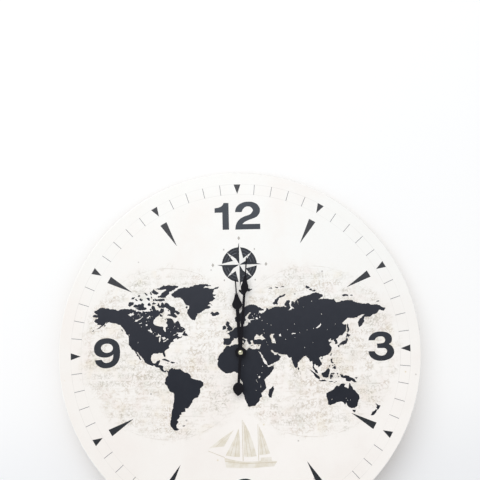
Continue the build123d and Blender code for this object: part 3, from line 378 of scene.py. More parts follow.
def finish(
    name, colour, cloud, roughness, scale=40.0, amount=0.5, ground=None,
    grain=900.0, streaks=None, spread=0.1, bump=0.05, **constants,
):
    """Material of one finish: clouded colour, or the colour of a ground group, and grain or streaks in its surface."""
    material = bpy.data.materials.new(name)
    material.use_nodes = True
    n = Nodes(material.node_tree)
    surface = material.node_tree.nodes["Principled BSDF"]
    where = n.add("ShaderNodeTexCoord").outputs["Object"]
    paint = n.add("ShaderNodeGroup", {"Vector": where}, node_tree=ground or mottled)
    for key, value in {"Colour": srgb(colour), "Cloud": srgb(cloud), "Scale": scale, "Amount": amount}.items():
        if key in paint.inputs:
            paint.inputs[key].default_value = value
    n.feed(surface.inputs["Base Color"], paint.outputs["Colour"])
    size = {"Stretch": streaks} if streaks else {"Scale": grain}
    inputs = {"Vector": where, "Roughness": roughness, "Spread": spread, **size}
    relief = n.add("ShaderNodeGroup", inputs, node_tree=drawn if streaks else grained)
    n.feed(surface.inputs["Roughness"], relief.outputs["Roughness"])
    raised = n.add("ShaderNodeBump", {"Strength": bump, "Distance": relief_depth, "Height": relief.outputs["Height"]})
    n.feed(surface.inputs["Normal"], raised.outputs["Normal"])
    for key, value in constants.items():
        surface.inputs[key.replace("_", " ").title().replace("Ior", "IOR")].default_value = value
    return material


rolled = (40.0, 900.0, 900.0)
turned = (900.0, 60.0, 900.0)
wound = (9000.0, 200.0, 200.0)
finishes = {
    "board": finish("board_lacquer", "f8f7f4", "a98a63", 0.42, ground=board_group()),
    # The film's second colour is the greyer paper at its top, partly a painted shade
    "print": finish("dial_film", "fbf6f1", "f6f5f2", 0.42, ground=film_group(), grain=1600.0, bump=0.03),
    "case_black": finish("black_moulding", "17181a", "1f2022", 0.55, grain=1400.0, bump=0.25),
    "plate_white": finish("white_moulding", "e4e3dd", "d8d6cf", 0.45),
    "gear_plastic": finish("gear_moulding", "ece7db", "ddd6c6", 0.38, amount=0.4),
    "brass": finish("turned_brass", "c9a35c", "b98f48", 0.28, streaks=turned, metallic=1.0, bump=0.1),
    "pale_gold": finish("pale_gold_plate", "c4c0a6", "b4ac8c", 0.2, grain=500.0, metallic=1.0, bump=0.02),
    "rubber": finish("gasket_rubber", "1c1c1d", "252526", 0.8, grain=700.0, bump=0.2),
    "steel": finish("zinc_plated_steel", "b9bcc0", "a2a6ab", 0.34, streaks=rolled, metallic=1.0, bump=0.08),
    "hand_black": finish("hand_lacquer", "131217", "19181e", 0.5, grain=1800.0, bump=0.04, specular_ior_level=0.1),
    "magnet": finish("sintered_magnet", "4a4a4c", "3c3c3e", 0.5, metallic=0.7, grain=2500.0, bump=0.2),
    "copper": finish("enamelled_wire", "c0713c", "9c5428", 0.3, streaks=wound, spread=0.3, metallic=0.8, bump=0.5),
    "circuit": finish("solder_mask", "1c4d2e", "2c6a41", 0.35, scale=700.0, amount=0.8),
    "resin": finish("resin_drop", "101011", "18181a", 0.22),
    "nickel": finish("bright_nickel", "cbc9c2", "b9b7b0", 0.22, streaks=rolled, metallic=1.0, bump=0.05),
    "battery_sleeve": finish("battery_wrap", "2f3c42", "b4b8b8", 0.33, ground=battery_group(), metallic=0.35),
}
ink = dict(roughness=0.5, ground=sheened_ink_group(), grain=1600.0, bump=0.03, specular_ior_level=0.12)
# The black inks turn towards their second, lighter colour at the top of the dial: a painted sheen
map_ink = finish("map_ink", "20232b", "43454d", **ink)
mark_ink = finish("mark_ink", "2c2f33", "505053", **ink)
numeral_ink = finish("numeral_ink", "26292f", "50545a", **ink)
track_grey = finish("track_ink", "75767a", "8a8b8e", 0.5, scale=200.0)
rose_ink = finish("rose_ink", "35373c", "3e4046", 0.5, scale=120.0, grain=1600.0, bump=0.03, specular_ior_level=0.12)
ring_grey = finish("rose_ring_ink", "62656d", "565962", 0.5, scale=200.0)
rose_white = finish("rose_white_ink", "f3f1ee", "e9e6e1", 0.45, scale=120.0)
dot_grey = finish("faded_ink", "b4afa9", "c4c0ba", 0.55, scale=300.0)
sail_ink = finish("sail_ink", "eee8de", "dfd6c4", 0.5, scale=140.0, amount=0.9)
rig_ink = finish("rigging_ink", "d2c8b4", "c2b69c", 0.5, scale=150.0)
seam_ink = finish("seam_ink", "d7ccb8", "c8bca2", 0.5, scale=150.0)

slot_of_node = {part["node"]: part["material_slot"] for part in frame["record"]["subparts"]}
for name, node in frame["nodes"].items():
    node.data.materials.clear()
    node.data.materials.append(finishes[slot_of_node[name]])


# Flat printed pieces


def put(name, data):
    """New object in the scene."""
    obj = bpy.data.objects.new(name, data)
    bpy.context.scene.collection.objects.link(obj)
    return obj


def keep(obj):
    """Ink rides on the clock's body."""
    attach(obj, body)


def to_dial(layer):
    """Matrix from a drawing in millimetres, x right and y up, to a printed layer on the dial."""
    front = face - layer * ink_step * millimetre
    return Matrix.Translation((0, front, 0)) @ Matrix.Rotation(radians(90), 4, "X") @ Matrix.Scale(millimetre, 4)


def fill(name, loops, curved):
    """Points and faces of the area between loops; a curved loop bends through its points except at corners."""
    drawing = bpy.data.curves.new(name, "CURVE")
    drawing.dimensions = "2D"
    drawing.fill_mode = "NONE"
    drawing.resolution_u = curve_steps
    for loop in loops:
        if curved:
            spline = drawing.splines.new("BEZIER")
            spline.bezier_points.add(len(loop) - 1)
            for knot, point in zip(spline.bezier_points, loop):
                knot.co = (point[0], point[1], 0)
                knot.handle_left_type = knot.handle_right_type = "VECTOR" if len(point) > 2 else "AUTO"
        else:
            spline = drawing.splines.new("POLY")
            spline.points.add(len(loop) - 1)
            for knot, point in zip(spline.points, loop):
                knot.co = (point[0], point[1], 0, 1)
        spline.use_cyclic_u = True
    sketch = put(name + "_drawing", drawing)
    outline = bpy.data.meshes.new_from_object(sketch.evaluated_get(bpy.context.evaluated_depsgraph_get()))
    bpy.data.objects.remove(sketch)
    corners = [vertex.co.xy for vertex in outline.vertices]
    closings = [sorted(edge.vertices) for edge in outline.edges if abs(edge.vertices[0] - edge.vertices[1]) > 1]
    areas = [list(range(first, last + 1)) for first, last in closings]
    inside_with_holes = 2
    spots, _, tiles, *_ = geometry.delaunay_2d_cdt(corners, [], areas, inside_with_holes, merge_distance)
    return spots, tiles


def printed(name, loops, material, layer=1, curved=False):
    """Thin closed piece of ink between loops of points."""
    spots, tiles = fill(name, loops, curved)
    edges = {(a, b) for tile in tiles for a, b in zip(tile, tile[1:] + tile[:1])}
    under = len(spots)
    polygons = list(tiles) + [[i + under for i in reversed(tile)] for tile in tiles]
    polygons += [(b, a, a + under, b + under) for a, b in edges if (b, a) not in edges]
    thickness = ink_step + ink_sink
    mesh = bpy.data.meshes.new(name)
    mesh.from_pydata([(x, y, 0) for x, y in spots] + [(x, y, -thickness) for x, y in spots], [], polygons)
    solid = bmesh.new()
    solid.from_mesh(mesh)
    bmesh.ops.delete(solid, geom=[vertex for vertex in solid.verts if not vertex.link_faces], context="VERTS")
    solid.to_mesh(mesh)
    solid.free()
    mesh.transform(to_dial(layer))
    mesh.materials.append(material)
    keep(put(name, mesh))


def placed(loop, centre, size=1.0, turn=0.0):
    """Loop scaled, turned clockwise by degrees and moved; a corner mark stays on its point."""
    c, s = cos(radians(turn)), sin(radians(turn))
    moved = []
    for point in loop:
        x, y = point[0] * size, point[1] * size
        moved.append((centre[0] + x * c + y * s, centre[1] - x * s + y * c, *point[2:]))
    return moved


def spread(loop, by):
    """Loop with each point moved outwards, square to the line between its neighbours."""
    after = loop[1:] + loop[:1]
    before = loop[-1:] + loop[:-1]
    area = sum(a[0] * b[1] - b[0] * a[1] for a, b in zip(loop, after))
    reach = by if area > 0 else -by
    grown = []
    for last, here, following in zip(before, loop, after):
        along = (Vector(following[:2]) - Vector(last[:2])).normalized()
        grown.append((here[0] + reach * along.y, here[1] - reach * along.x, *here[2:]))
    return grown


def round_loop(radius, points=96):
    """Points round a circle, clockwise from its top."""
    return [(radius * sin(2 * pi * i / points), radius * cos(2 * pi * i / points)) for i in range(points)]


# Numerals, drawn one unit high; a third value marks a corner

figure_one = [
    (0.28, 0, 1), (0.5, 0, 1), (0.5, 0.972, 1), (0.335, 0.972, 1), (0.28, 0.88), (0.19, 0.82), (0, 0.785, 1),
    (0, 0.63, 1), (0.28, 0.63, 1),
]
figure_two = [
    (0, 0, 1), (0.902, 0, 1), (0.902, 0.182, 1), (0.259, 0.182, 1), (0.336, 0.266), (0.476, 0.336), (0.643, 0.392),
    (0.811, 0.483), (0.902, 0.685), (0.853, 0.839), (0.741, 0.944), (0.476, 1), (0.238, 0.951), (0.084, 0.839),
    (0.021, 0.713), (0.007, 0.636, 1), (0.238, 0.636, 1), (0.28, 0.727), (0.364, 0.811), (0.462, 0.839), (0.573, 0.811),
    (0.657, 0.685), (0.622, 0.615), (0.559, 0.545), (0.336, 0.462), (0.182, 0.378), (0.07, 0.252), (0.021, 0.126),
]
figure_three = [
    (0.018, 0.714, 1), (0.048, 0.806), (0.15, 0.921), (0.282, 0.982), (0.458, 1), (0.634, 0.974), (0.767, 0.903),
    (0.824, 0.815), (0.833, 0.718), (0.802, 0.63), (0.722, 0.564, 1), (0.811, 0.498), (0.872, 0.401), (0.894, 0.313),
    (0.868, 0.198), (0.793, 0.101), (0.652, 0.031), (0.458, 0), (0.264, 0.022), (0.106, 0.11), (0.026, 0.225),
    (0, 0.326, 1), (0.216, 0.326, 1), (0.247, 0.26), (0.326, 0.198), (0.441, 0.167), (0.555, 0.189), (0.634, 0.26),
    (0.656, 0.326), (0.634, 0.392), (0.573, 0.432), (0.493, 0.436), (0.322, 0.441, 1), (0.308, 0.586, 1),
    (0.476, 0.595), (0.555, 0.617), (0.599, 0.674), (0.599, 0.736), (0.555, 0.815), (0.423, 0.841), (0.317, 0.815),
    (0.256, 0.762), (0.229, 0.714, 1),
]
figure_nine = [
    (0.026, 0.266, 1), (0.06, 0.167), (0.137, 0.082), (0.275, 0.013), (0.429, 0), (0.592, 0.034), (0.738, 0.124),
    (0.833, 0.27), (0.871, 0.459), (0.867, 0.614), (0.824, 0.794), (0.721, 0.914), (0.567, 0.983), (0.412, 1),
    (0.24, 0.97), (0.103, 0.888), (0.026, 0.777), (0, 0.648), (0.021, 0.528), (0.086, 0.442), (0.206, 0.382),
    (0.361, 0.361), (0.481, 0.373), (0.592, 0.416), (0.652, 0.459, 1), (0.639, 0.33), (0.592, 0.236), (0.524, 0.193),
    (0.421, 0.167), (0.326, 0.189), (0.275, 0.236), (0.249, 0.275, 1),
]
figure_nine_eye = [
    (0.429, 0.824), (0.549, 0.803), (0.622, 0.734), (0.639, 0.674), (0.618, 0.597), (0.541, 0.528), (0.429, 0.506),
    (0.326, 0.532), (0.258, 0.597), (0.227, 0.674), (0.249, 0.742), (0.318, 0.803),
]
one, two, three = (figure_one, -0.815, 1), (figure_two, -0.08, 1), (figure_three, -0.447, 1)
nine, nine_eye = (figure_nine, -0.4355, 1), (figure_nine_eye, -0.4355, -1)
# For each number: middle, height, turn and loops with their shift to the left; ink spreads into a loop marked -1
numerals = {
    "12": ((0.15, 151.3), 30.9, 0, (one, two)),
    "3": ((155.42, 2.49), 31.7, 0, (three,)),
    "6": ((0.0, -152.6), 32.3, 180, (nine, nine_eye)),
    "9": ((-146.64, 2.46), 32.35, 0, (nine, nine_eye)),
}
for number, (middle, height, turn, strokes) in numerals.items():
    loops = []
    for loop, shift, side in strokes:
        centred = [(point[0] + shift, point[1] - 0.5, *point[2:]) for point in loop]
        loops.append(spread(placed(centred, middle, height, turn), side * ink_spread))
    printed("numeral_" + number, loops, numeral_ink, curved=True)


# Minute track, hour marks and wedges, each a ring of one mark repeated by Geometry Nodes


def mark_ring_tree(name, wedge):
    """Ring of flat marks: wedges that point inwards, or bars.

    Of each Period marks, those from Kept From on are shown. A wedge starts as a triangle 1.5 long and root 3 wide, with
    its middle a third of its length from its base.
    """
    tree = bpy.data.node_groups.new(name, "GeometryNodeTree")
    for key, kind in (
        ("Count", "Int"), ("Period", "Int"), ("Kept From", "Int"), ("Radius", "Float"), ("Length", "Float"),
        ("Width", "Float"), ("Thickness", "Float"), ("Level", "Float"), ("Centre", "Vector"), ("Ink", "Material"),
    ):
        tree.interface.new_socket(key, in_out="INPUT", socket_type="NodeSocket" + kind)
    tree.interface.new_socket("Marks", in_out="OUTPUT", socket_type="NodeSocketGeometry")
    n = Nodes(tree)
    given = n.add("NodeGroupInput").outputs
    index = n.add("GeometryNodeInputIndex").outputs[0]
    angle = n.times(index, n.math("DIVIDE", 2 * pi, given["Count"]))
    across, up = (n.times(n.math(way, angle), given["Radius"]) for way in ("SINE", "COSINE"))
    place = n.vector("ADD", given["Centre"], n.point(across, given["Level"], up))
    points = n.add("GeometryNodePoints", {"Count": given["Count"], "Position": place})
    shown = n.math("GREATER_THAN", n.math("ADD", n.math("MODULO", index, given["Period"]), 0.5), given["Kept From"])
    length, width, thickness = given["Length"], given["Width"], given["Thickness"]
    if wedge:
        mark = n.add("GeometryNodeMeshCylinder", {"Vertices": 3, "Radius": 1.0, "Depth": 1.0})
        size = n.point(n.math("DIVIDE", length, 1.5), n.math("DIVIDE", width, sqrt(3)), thickness)
        turn = Matrix(((0, 1, 0), (0, 0, -1), (-1, 0, 0))).to_euler()
        drop = n.math("DIVIDE", length, -3.0)
    else:
        mark = n.add("GeometryNodeMeshCube", {"Size": (1.0, 1.0, 1.0)})
        size = n.point(width, thickness, length)
        turn = (0, 0, 0)
        drop = n.math("DIVIDE", length, -2.0)
    shaped = n.add(
        "GeometryNodeTransform",
        {"Geometry": mark.outputs["Mesh"], "Translation": n.point(0.0, 0.0, drop), "Rotation": turn, "Scale": size},
    )
    facing = n.add("FunctionNodeEulerToRotation", {0: n.point(0.0, angle, 0.0)})
    ring = n.add(
        "GeometryNodeInstanceOnPoints",
        {
            "Points": points.outputs[0], "Selection": shown,
            "Instance": shaped.outputs[0], "Rotation": facing.outputs[0],
        },
    )
    real = n.add("GeometryNodeRealizeInstances", {"Geometry": ring.outputs[0]})
    inked = n.add("GeometryNodeSetMaterial", {"Geometry": real.outputs[0], "Material": given["Ink"]})
    n.feed(n.add("NodeGroupOutput").inputs["Marks"], inked.outputs[0])
    return tree


def mark_ring(name, tree, **values):
    """Piece made by a mark ring tree with its sizes in millimetres."""
    piece = put(name, bpy.data.meshes.new(name))
    modifier = piece.modifiers.new("marks", "NODES")
    modifier.node_group = tree
    values["Thickness"] = ink_step + ink_sink
    values["Level"] = (face / millimetre) - (ink_step - ink_sink) / 2
    values["Centre"] = Vector((print_centre[0], 0, print_centre[1]))
    for socket in tree.interface.items_tree:
        if socket.in_out == "INPUT":
            value = values[socket.name.replace(" ", "_")]
            is_length = socket.socket_type in ("NodeSocketFloat", "NodeSocketVector")
            modifier[socket.identifier] = value * millimetre if is_length else value
    graph = bpy.context.evaluated_depsgraph_get()
    baked = bpy.data.meshes.new_from_object(piece.evaluated_get(graph))
    piece.modifiers.clear()
    piece.data = baked
    keep(piece)


wedge_tree, bar_tree = mark_ring_tree("wedge_ring", True), mark_ring_tree("bar_ring", False)
mark_ring(
    "minute_ticks", bar_tree, Count=minutes, Period=minutes // hours, Kept_From=1, Radius=track_outer,
    Length=track_outer - track_inner, Width=tick_width, Ink=track_grey,
)
mark_ring(
    "hour_marks", wedge_tree, Count=hours, Period=1, Kept_From=0, Radius=hour_mark_base,
    Length=hour_mark_base - hour_mark_tip, Width=hour_mark_width, Ink=mark_ink,
)
mark_ring(
    "hour_wedges", wedge_tree, Count=hours, Period=hours // quarters, Kept_From=1, Radius=wedge_base,
    Length=wedge_base - wedge_tip, Width=wedge_width, Ink=mark_ink,
)


# Compass rose: dark disc with fine rings, white and dark half points, plain dots round it

printed("rose_disc", [placed(round_loop(rose_radius), rose_centre)], rose_ink)
for i, (radius, width) in enumerate(rose_rings):
    rims = [placed(round_loop(radius + side * width / 2), rose_centre) for side in (1, -1)]
    printed(f"rose_ring_{i + 1}", rims, ring_grey, layer=2)
dark_half = [(0, 0), (0, rose_reach), (-rose_shoulder[0], rose_shoulder[1])]
white_half = [(0, 0), (0, rose_reach), (rose_shoulder[0], rose_shoulder[1])]
side, rise = rose_diagonal_shoulder
white_kite = [(0, 0), (-side, rise), (0, rose_radius), (side, rise)]
eighth_turn = 45
quarter_turns = [2 * eighth_turn * i for i in range(quarters)]
for name, shape, shift, material, layer in (
    ("rose_dark_points", dark_half, 0, rose_ink, 3),
    ("rose_white_points", white_half, 0, rose_white, 3),
    ("rose_white_kites", white_kite, eighth_turn, rose_white, 2),
):
    printed(name, [placed(shape, rose_centre, turn=turn + shift) for turn in quarter_turns], material, layer)
diamond = [(0, 1), (0.7, 0), (0, -1), (-0.7, 0)]
dots = []
for i in range(2 * quarters):
    reach, size = rose_dots[i % 2]
    dots.append(placed(diamond, placed([(0, reach)], rose_centre, turn=eighth_turn * i)[0], size))
printed("rose_dots", dots, dot_grey)


# Small sailing boat of faded ink under the map

boat_hull = [
    (-20.5, -113.5, 1), (-18.5, -124, 1), (6, -125), (33.5, -124, 1), (37, -118.5, 1), (31, -117.8, 1), (31, -114, 1),
    (19, -114.3, 1), (19, -117.6, 1), (0, -118),
]
boat_sails = [
    [(-9.5, -84, 1), (-22, -92), (-37, -103, 1), (-28, -101.8), (-20.5, -101.5, 1), (-15, -92.5)],
    [(-4, -82, 1), (-9, -93), (-19, -111, 1), (-11, -112.5), (-3.5, -113, 1), (-3.2, -97)],
    [(1, -74.5, 1), (6, -84), (11, -98), (14.8, -112.5, 1), (8, -113.3), (1, -112.8, 1)],
    [(17.7, -79.5, 1), (22, -89), (26, -100), (29.5, -110, 1), (24, -111.3), (17.9, -111.5, 1)],
]
boat_seams = [
    [(-11, -85.6), (-10.6, -85.6), (-29, -101.4), (-29.6, -101.4)],
    [(-4.6, -84), (-4.3, -84), (-8.4, -112.2), (-8.9, -112.2)],
    [(-5.6, -87), (-5.3, -87), (-13.6, -111.6), (-14.1, -111.6)],
    [(1.4, -76), (1.8, -76), (5.2, -112.8), (4.7, -112.8)],
    [(3, -79), (3.4, -79), (9.6, -112.8), (9.1, -112.8)],
    [(18.3, -82), (18.7, -82), (21.8, -111), (21.3, -111)],
    [(19.6, -85), (20, -85), (25.8, -110.6), (25.3, -110.6)],
    [(-19.6, -117.4), (-19.5, -116.8), (0, -119.8), (36.4, -119.4), (36.2, -120), (0, -120.5)],
]
boat_spars = [
    [(-0.3, -73.5), (0.2, -73.5), (0.3, -117.6), (-0.4, -117.6)],
    [(16.7, -78.5), (17.1, -78.5), (17.3, -117.4), (16.7, -117.4)],
    [(-38, -105.8), (-37.8, -105.4), (-20, -112.8), (-20.3, -113.3)],
]
printed("boat_hull", [boat_hull], sail_ink, curved=True)
printed("boat_sails", boat_sails, sail_ink, curved=True)
printed("boat_spars", boat_spars, rig_ink)
printed("boat_seams", boat_seams, seam_ink, layer=2)


# World map: coasts as longitude and latitude in degrees

mainland_america = [
    (-168, 65.6), (-164.5, 66.5), (-161.8, 66.2), (-163.5, 67.1), (-166.5, 68.4), (-163, 69.6), (-159.5, 70.8),
    (-156.6, 71.3), (-152, 70.8), (-145, 70), (-141, 69.7), (-136, 69), (-134, 69.6), (-129.5, 70.1), (-125, 69.6),
    (-121, 69.8), (-115.5, 68.9), (-115, 68), (-110, 67.9), (-107.8, 66.8), (-107, 68.3), (-103, 67.8), (-98.5, 67.8),
    (-96, 68.3), (-94.5, 68.4), (-96, 70.2), (-95.5, 71.8), (-92.8, 71.2), (-91.6, 69.6), (-90.3, 68.5), (-88, 68.8),
    (-87.3, 67.3), (-85.5, 68.8), (-84.7, 69.8), (-81.5, 69.3), (-81.3, 67.6), (-83.5, 66.3), (-86, 66.4), (-88, 64.3),
    (-90.5, 63.6), (-94, 61.4), (-94.7, 58.8), (-92.6, 57), (-88.5, 56.5), (-82.4, 55.2), (-82.2, 53), (-80.5, 51.4),
    (-79, 51.5), (-78.8, 53), (-79.5, 54.7), (-76.7, 56.2), (-78.5, 58.8), (-77.4, 60.2), (-78, 62.4), (-73.8, 62.4),
    (-70, 61), (-69.6, 59), (-67.8, 58.3), (-65.5, 59.8), (-64.4, 60.4), (-62.5, 58.2), (-61, 55.8), (-57.5, 54.2),
    (-55.8, 52.5), (-57.3, 51.5), (-59.8, 50.3), (-66, 50.2), (-68.5, 49.2), (-70.8, 47), (-68.5, 48.3), (-65, 49.2),
    (-64.3, 48.3), (-65.4, 47.6), (-64.8, 46.6), (-63.2, 45.8), (-61.4, 45.7), (-60, 46.6), (-60.4, 45.7),
    (-63.5, 44.6), (-65.8, 43.5), (-66.2, 44.4), (-64.6, 45.4), (-67, 44.9), (-70, 43.8), (-70.8, 42.6), (-70, 41.8),
    (-71.4, 41.5), (-73.8, 40.8), (-74.2, 39.6), (-75.4, 38.2), (-76, 36.9), (-75.6, 35.3), (-77.8, 34), (-79.3, 33.1),
    (-81.2, 31.6), (-81.3, 30), (-80.1, 27), (-80.4, 25.2), (-81.7, 25.9), (-82.8, 27.9), (-83.8, 29.9), (-85.3, 29.7),
    (-88, 30.3), (-89.4, 29.2), (-91.5, 29.4), (-94.7, 29.4), (-97.2, 27.6), (-97.7, 24.5), (-97.8, 22.3),
    (-96.3, 19.3), (-94.5, 18.2), (-91.8, 18.5), (-90.5, 19.8), (-90.3, 21), (-87, 21.5), (-87.6, 19.4), (-88.3, 18),
    (-88.8, 15.9), (-86, 15.9), (-83.3, 15), (-83.7, 12), (-83.5, 10.8), (-82, 9), (-79.2, 9.6), (-77.4, 8.7),
    (-76.8, 8), (-75.6, 10.6), (-74.5, 11.1), (-71.6, 12.3), (-71.6, 10.6), (-70, 11.8), (-68.3, 10.8), (-66, 10.5),
    (-62.8, 10.7), (-61.8, 9.8), (-60.3, 8.4), (-57.5, 6.2), (-54, 5.8), (-51.6, 4.3), (-50, 1.8), (-50.3, 0),
    (-48, -0.8), (-44.4, -2.5), (-41.5, -2.9), (-38.5, -3.7), (-35.3, -5.2), (-34.8, -7.5), (-35.3, -9.3),
    (-37.2, -11.5), (-39, -13.2), (-39.2, -17.5), (-40.5, -20.5), (-42, -22.8), (-44.8, -23.3), (-48, -25.6),
    (-48.7, -28.3), (-50.3, -30.3), (-52.3, -32.5), (-54, -34.7), (-56.5, -34.8), (-58.3, -34), (-57.1, -36),
    (-57.7, -38.1), (-62, -38.9), (-62.3, -40.9), (-65, -41), (-63.7, -42.5), (-65.3, -44.3), (-67.5, -46),
    (-65.9, -47.8), (-67.7, -50), (-69, -51.3), (-68.3, -52.5), (-67.5, -53.8), (-65.2, -54.7), (-67.5, -55.5),
    (-70.5, -55.2), (-73.5, -53.2), (-75.2, -51), (-75.5, -48.5), (-74.2, -44), (-73.8, -41.8), (-73.6, -39),
    (-73.4, -37.2), (-71.7, -33.5), (-71.5, -30), (-70.6, -27), (-70.4, -23), (-70.2, -19), (-71.5, -17.4),
    (-75.3, -15.3), (-76.3, -13.9), (-77.3, -11.8), (-79, -8.3), (-81, -6), (-81.3, -4.5), (-80, -3.2), (-80.9, -2.2),
    (-80.5, -0.5), (-79.8, 1), (-78.5, 2), (-77.3, 3.8), (-77.5, 6.5), (-78.2, 8.1), (-79.5, 8.9), (-80.4, 8.2),
    (-80.2, 7.4), (-83.5, 8.5), (-85.7, 10), (-87.5, 12.9), (-91.5, 13.9), (-94, 16.1), (-96.5, 15.7), (-99.7, 16.7),
    (-102, 17.9), (-105.5, 19.8), (-105.4, 21.5), (-108, 25), (-109.4, 26.5), (-112.2, 29), (-113, 31.2),
    (-114.8, 31.8), (-114.8, 30.2), (-113, 28.2), (-111.4, 26), (-110.4, 24.2), (-109.5, 23.1), (-110.2, 22.9),
    (-112.2, 24.6), (-112.4, 26), (-115, 27.8), (-114.4, 28.4), (-116, 30.6), (-117.2, 32.6), (-118.5, 34),
    (-120.6, 34.6), (-121.9, 36.6), (-123.7, 39), (-124.4, 40.4), (-124.2, 43), (-124, 46.2), (-124.7, 48.4),
    (-122.7, 48.1), (-123.3, 49.4), (-127.3, 51), (-128.3, 52.5), (-130.2, 54.5), (-134, 58), (-136.5, 58.3),
    (-139.8, 59.7), (-144, 60), (-148, 60.7), (-151.8, 59.3), (-150, 61.2), (-152.6, 60.3), (-154, 58.6),
    (-157.5, 56.8), (-160, 55.7), (-162.6, 55.2), (-159.6, 56.5), (-157.6, 57.9), (-157.2, 58.7), (-159, 58.5),
    (-162, 58.7), (-162, 59.8), (-164.8, 60.6), (-166, 61.7), (-164.5, 63.1), (-161.2, 63.5), (-161, 64.5),
    (-164, 64.5), (-166.3, 64.7),
]
eurasia = [
    (-9, 37), (-9.4, 38.8), (-8.8, 41.5), (-9.2, 43.1), (-1.6, 43.5), (-1.2, 45.8), (-2.8, 47.4), (-4.7, 48.4),
    (-1.8, 48.7), (-1.7, 49.7), (1.5, 50.2), (2.5, 51.1), (4.6, 52.8), (7, 53.5), (8.6, 54), (8.2, 55.6), (8.3, 57),
    (10.6, 57.7), (10.6, 56.3), (10, 54.6), (11, 54), (14.2, 54), (18.5, 54.7), (21, 55.5), (21.5, 57.4), (24.2, 57.2),
    (23.6, 59.2), (28, 59.5), (29.9, 60), (25, 60.2), (22.9, 59.9), (21.4, 61), (21.5, 63.1), (25.2, 65), (24, 65.8),
    (21.5, 64.5), (17.4, 62), (17.3, 60.7), (18.8, 59.8), (16.8, 58.5), (16.4, 56.6), (14.3, 55.5), (12.9, 55.5),
    (11.4, 58.8), (10.6, 59.3), (8, 58.1), (5.6, 58.8), (5, 61.5), (8.5, 63.5), (12, 65.2), (14.8, 68), (19, 69.9),
    (25.5, 71), (31, 70.3), (33, 69.4), (40.5, 67.5), (40.2, 66.5), (34.5, 66.7), (34.6, 65), (38, 64.4), (40.3, 65),
    (43.3, 66.5), (44, 68.4), (46, 68), (46.5, 66.9), (53.8, 68.8), (60, 68.9), (65, 69.1), (67.5, 68.4), (69, 68.9),
    (66.8, 69.6), (66.8, 71), (68.8, 72.8), (71.5, 73.1), (72.8, 72.6), (72, 71), (72.7, 69.2), (73.4, 68.2),
    (71.5, 66.9), (69.8, 66.4), (73, 66.1), (75.2, 67.4), (78.5, 67.3), (77, 68.5), (74.6, 69), (74.2, 70.6),
    (75.2, 72.4), (77.5, 72.4), (78.4, 71), (79.4, 72.3), (80.5, 73.6), (82, 71.9), (83.2, 70.2), (83.4, 71.9),
    (82, 73.7), (87, 75), (98.5, 76.4), (104.3, 77.7), (112.5, 76.2), (113.5, 75), (107, 73.2), (113.5, 73.6),
    (123.5, 73.1), (127, 73.2), (129.5, 71), (139.5, 72.2), (149.5, 72.2), (152.5, 70.9), (160, 69.7), (169, 69.6),
    (171, 69), (180, 68.9), (185, 67.1), (190, 66.1), (187, 64.4), (182, 65.4), (179, 62.6), (174, 61.7), (170.3, 60),
    (163.8, 59.8), (162.4, 57.9), (163.2, 56.2), (162, 54.8), (160, 53.1), (156.7, 51), (155.6, 55), (157.5, 57.9),
    (163.3, 61.2), (164.3, 62.3), (160, 61.6), (156, 60.8), (154.5, 59.5), (150, 59.4), (143, 59.3), (135.5, 55),
    (137.5, 54), (141.3, 53.2), (140.5, 50), (140.3, 48.2), (135, 43.5), (131.8, 43.2), (127.7, 39.8), (129.5, 37),
    (129.2, 35.2), (126.5, 34.4), (126.6, 37), (125, 38), (125.2, 39.6), (121.5, 38.9), (121.8, 40.8), (118.5, 39.1),
    (119, 37.3), (122.5, 37.2), (119.3, 35), (121, 32.3), (121.9, 30.8), (121.5, 28.5), (119.5, 25.5), (116.5, 22.9),
    (113.5, 22.2), (110.6, 21.3), (110.2, 20.4), (109.6, 21.5), (108.2, 21.6), (105.9, 19.6), (107.4, 16.8),
    (109.2, 13.4), (109, 11.6), (106.7, 10.2), (104.9, 8.7), (105, 10.3), (102.8, 11.2), (100.8, 13.4), (99.9, 12),
    (99.3, 9.3), (100.5, 7.2), (103.4, 4.5), (104.2, 1.4), (101.3, 2.9), (100.3, 5.8), (98.3, 8.2), (98.6, 12),
    (97.6, 16.4), (95, 15.9), (94.3, 18.5), (92.2, 21), (90.5, 22.6), (87, 21.3), (82.3, 16.7), (80.2, 15.2),
    (79.8, 10.3), (77.6, 8.1), (76.3, 10), (74.5, 14), (72.8, 19), (72.7, 21.2), (70.5, 20.8), (69, 22.3), (67, 24.8),
    (61.5, 25.1), (57.3, 25.8), (56.5, 27.1), (51.5, 27.8), (50, 30.2), (48, 30), (48.6, 28), (50.1, 26.4),
    (51.5, 25.6), (51.8, 24.2), (54.2, 24.2), (56.2, 26), (56.8, 24.2), (59.8, 22.4), (57.8, 19), (55, 17), (52, 15.6),
    (45, 12.8), (43.4, 12.9), (42.7, 16.3), (39.3, 21.2), (37.4, 24.6), (35, 28.2), (34.3, 28), (32.8, 29.9),
    (32.4, 31.2), (34.3, 31.4), (35, 33), (35.9, 35.5), (36, 36.8), (34, 36.2), (30.6, 36.8), (28, 36.7), (26.8, 38.5),
    (26.3, 40), (26, 40.8), (23.8, 40.3), (23, 40.3), (24, 38), (23, 36.6), (21.5, 37.5), (20, 39.5), (19.4, 41.8),
    (16, 43.5), (13.6, 45), (12.3, 45.3), (12.6, 44), (14, 42.5), (16, 41.9), (18.5, 40.1), (17, 40.4), (16.8, 39),
    (16, 38), (15.7, 40), (12.3, 41.7), (10.4, 43), (8.8, 44.4), (6.2, 43.1), (3.1, 43.1), (3.2, 41.8), (0.5, 40.4),
    (-0.2, 39), (-0.8, 37.7), (-2.2, 36.8), (-5.4, 36.2), (-6.4, 36.9),
]
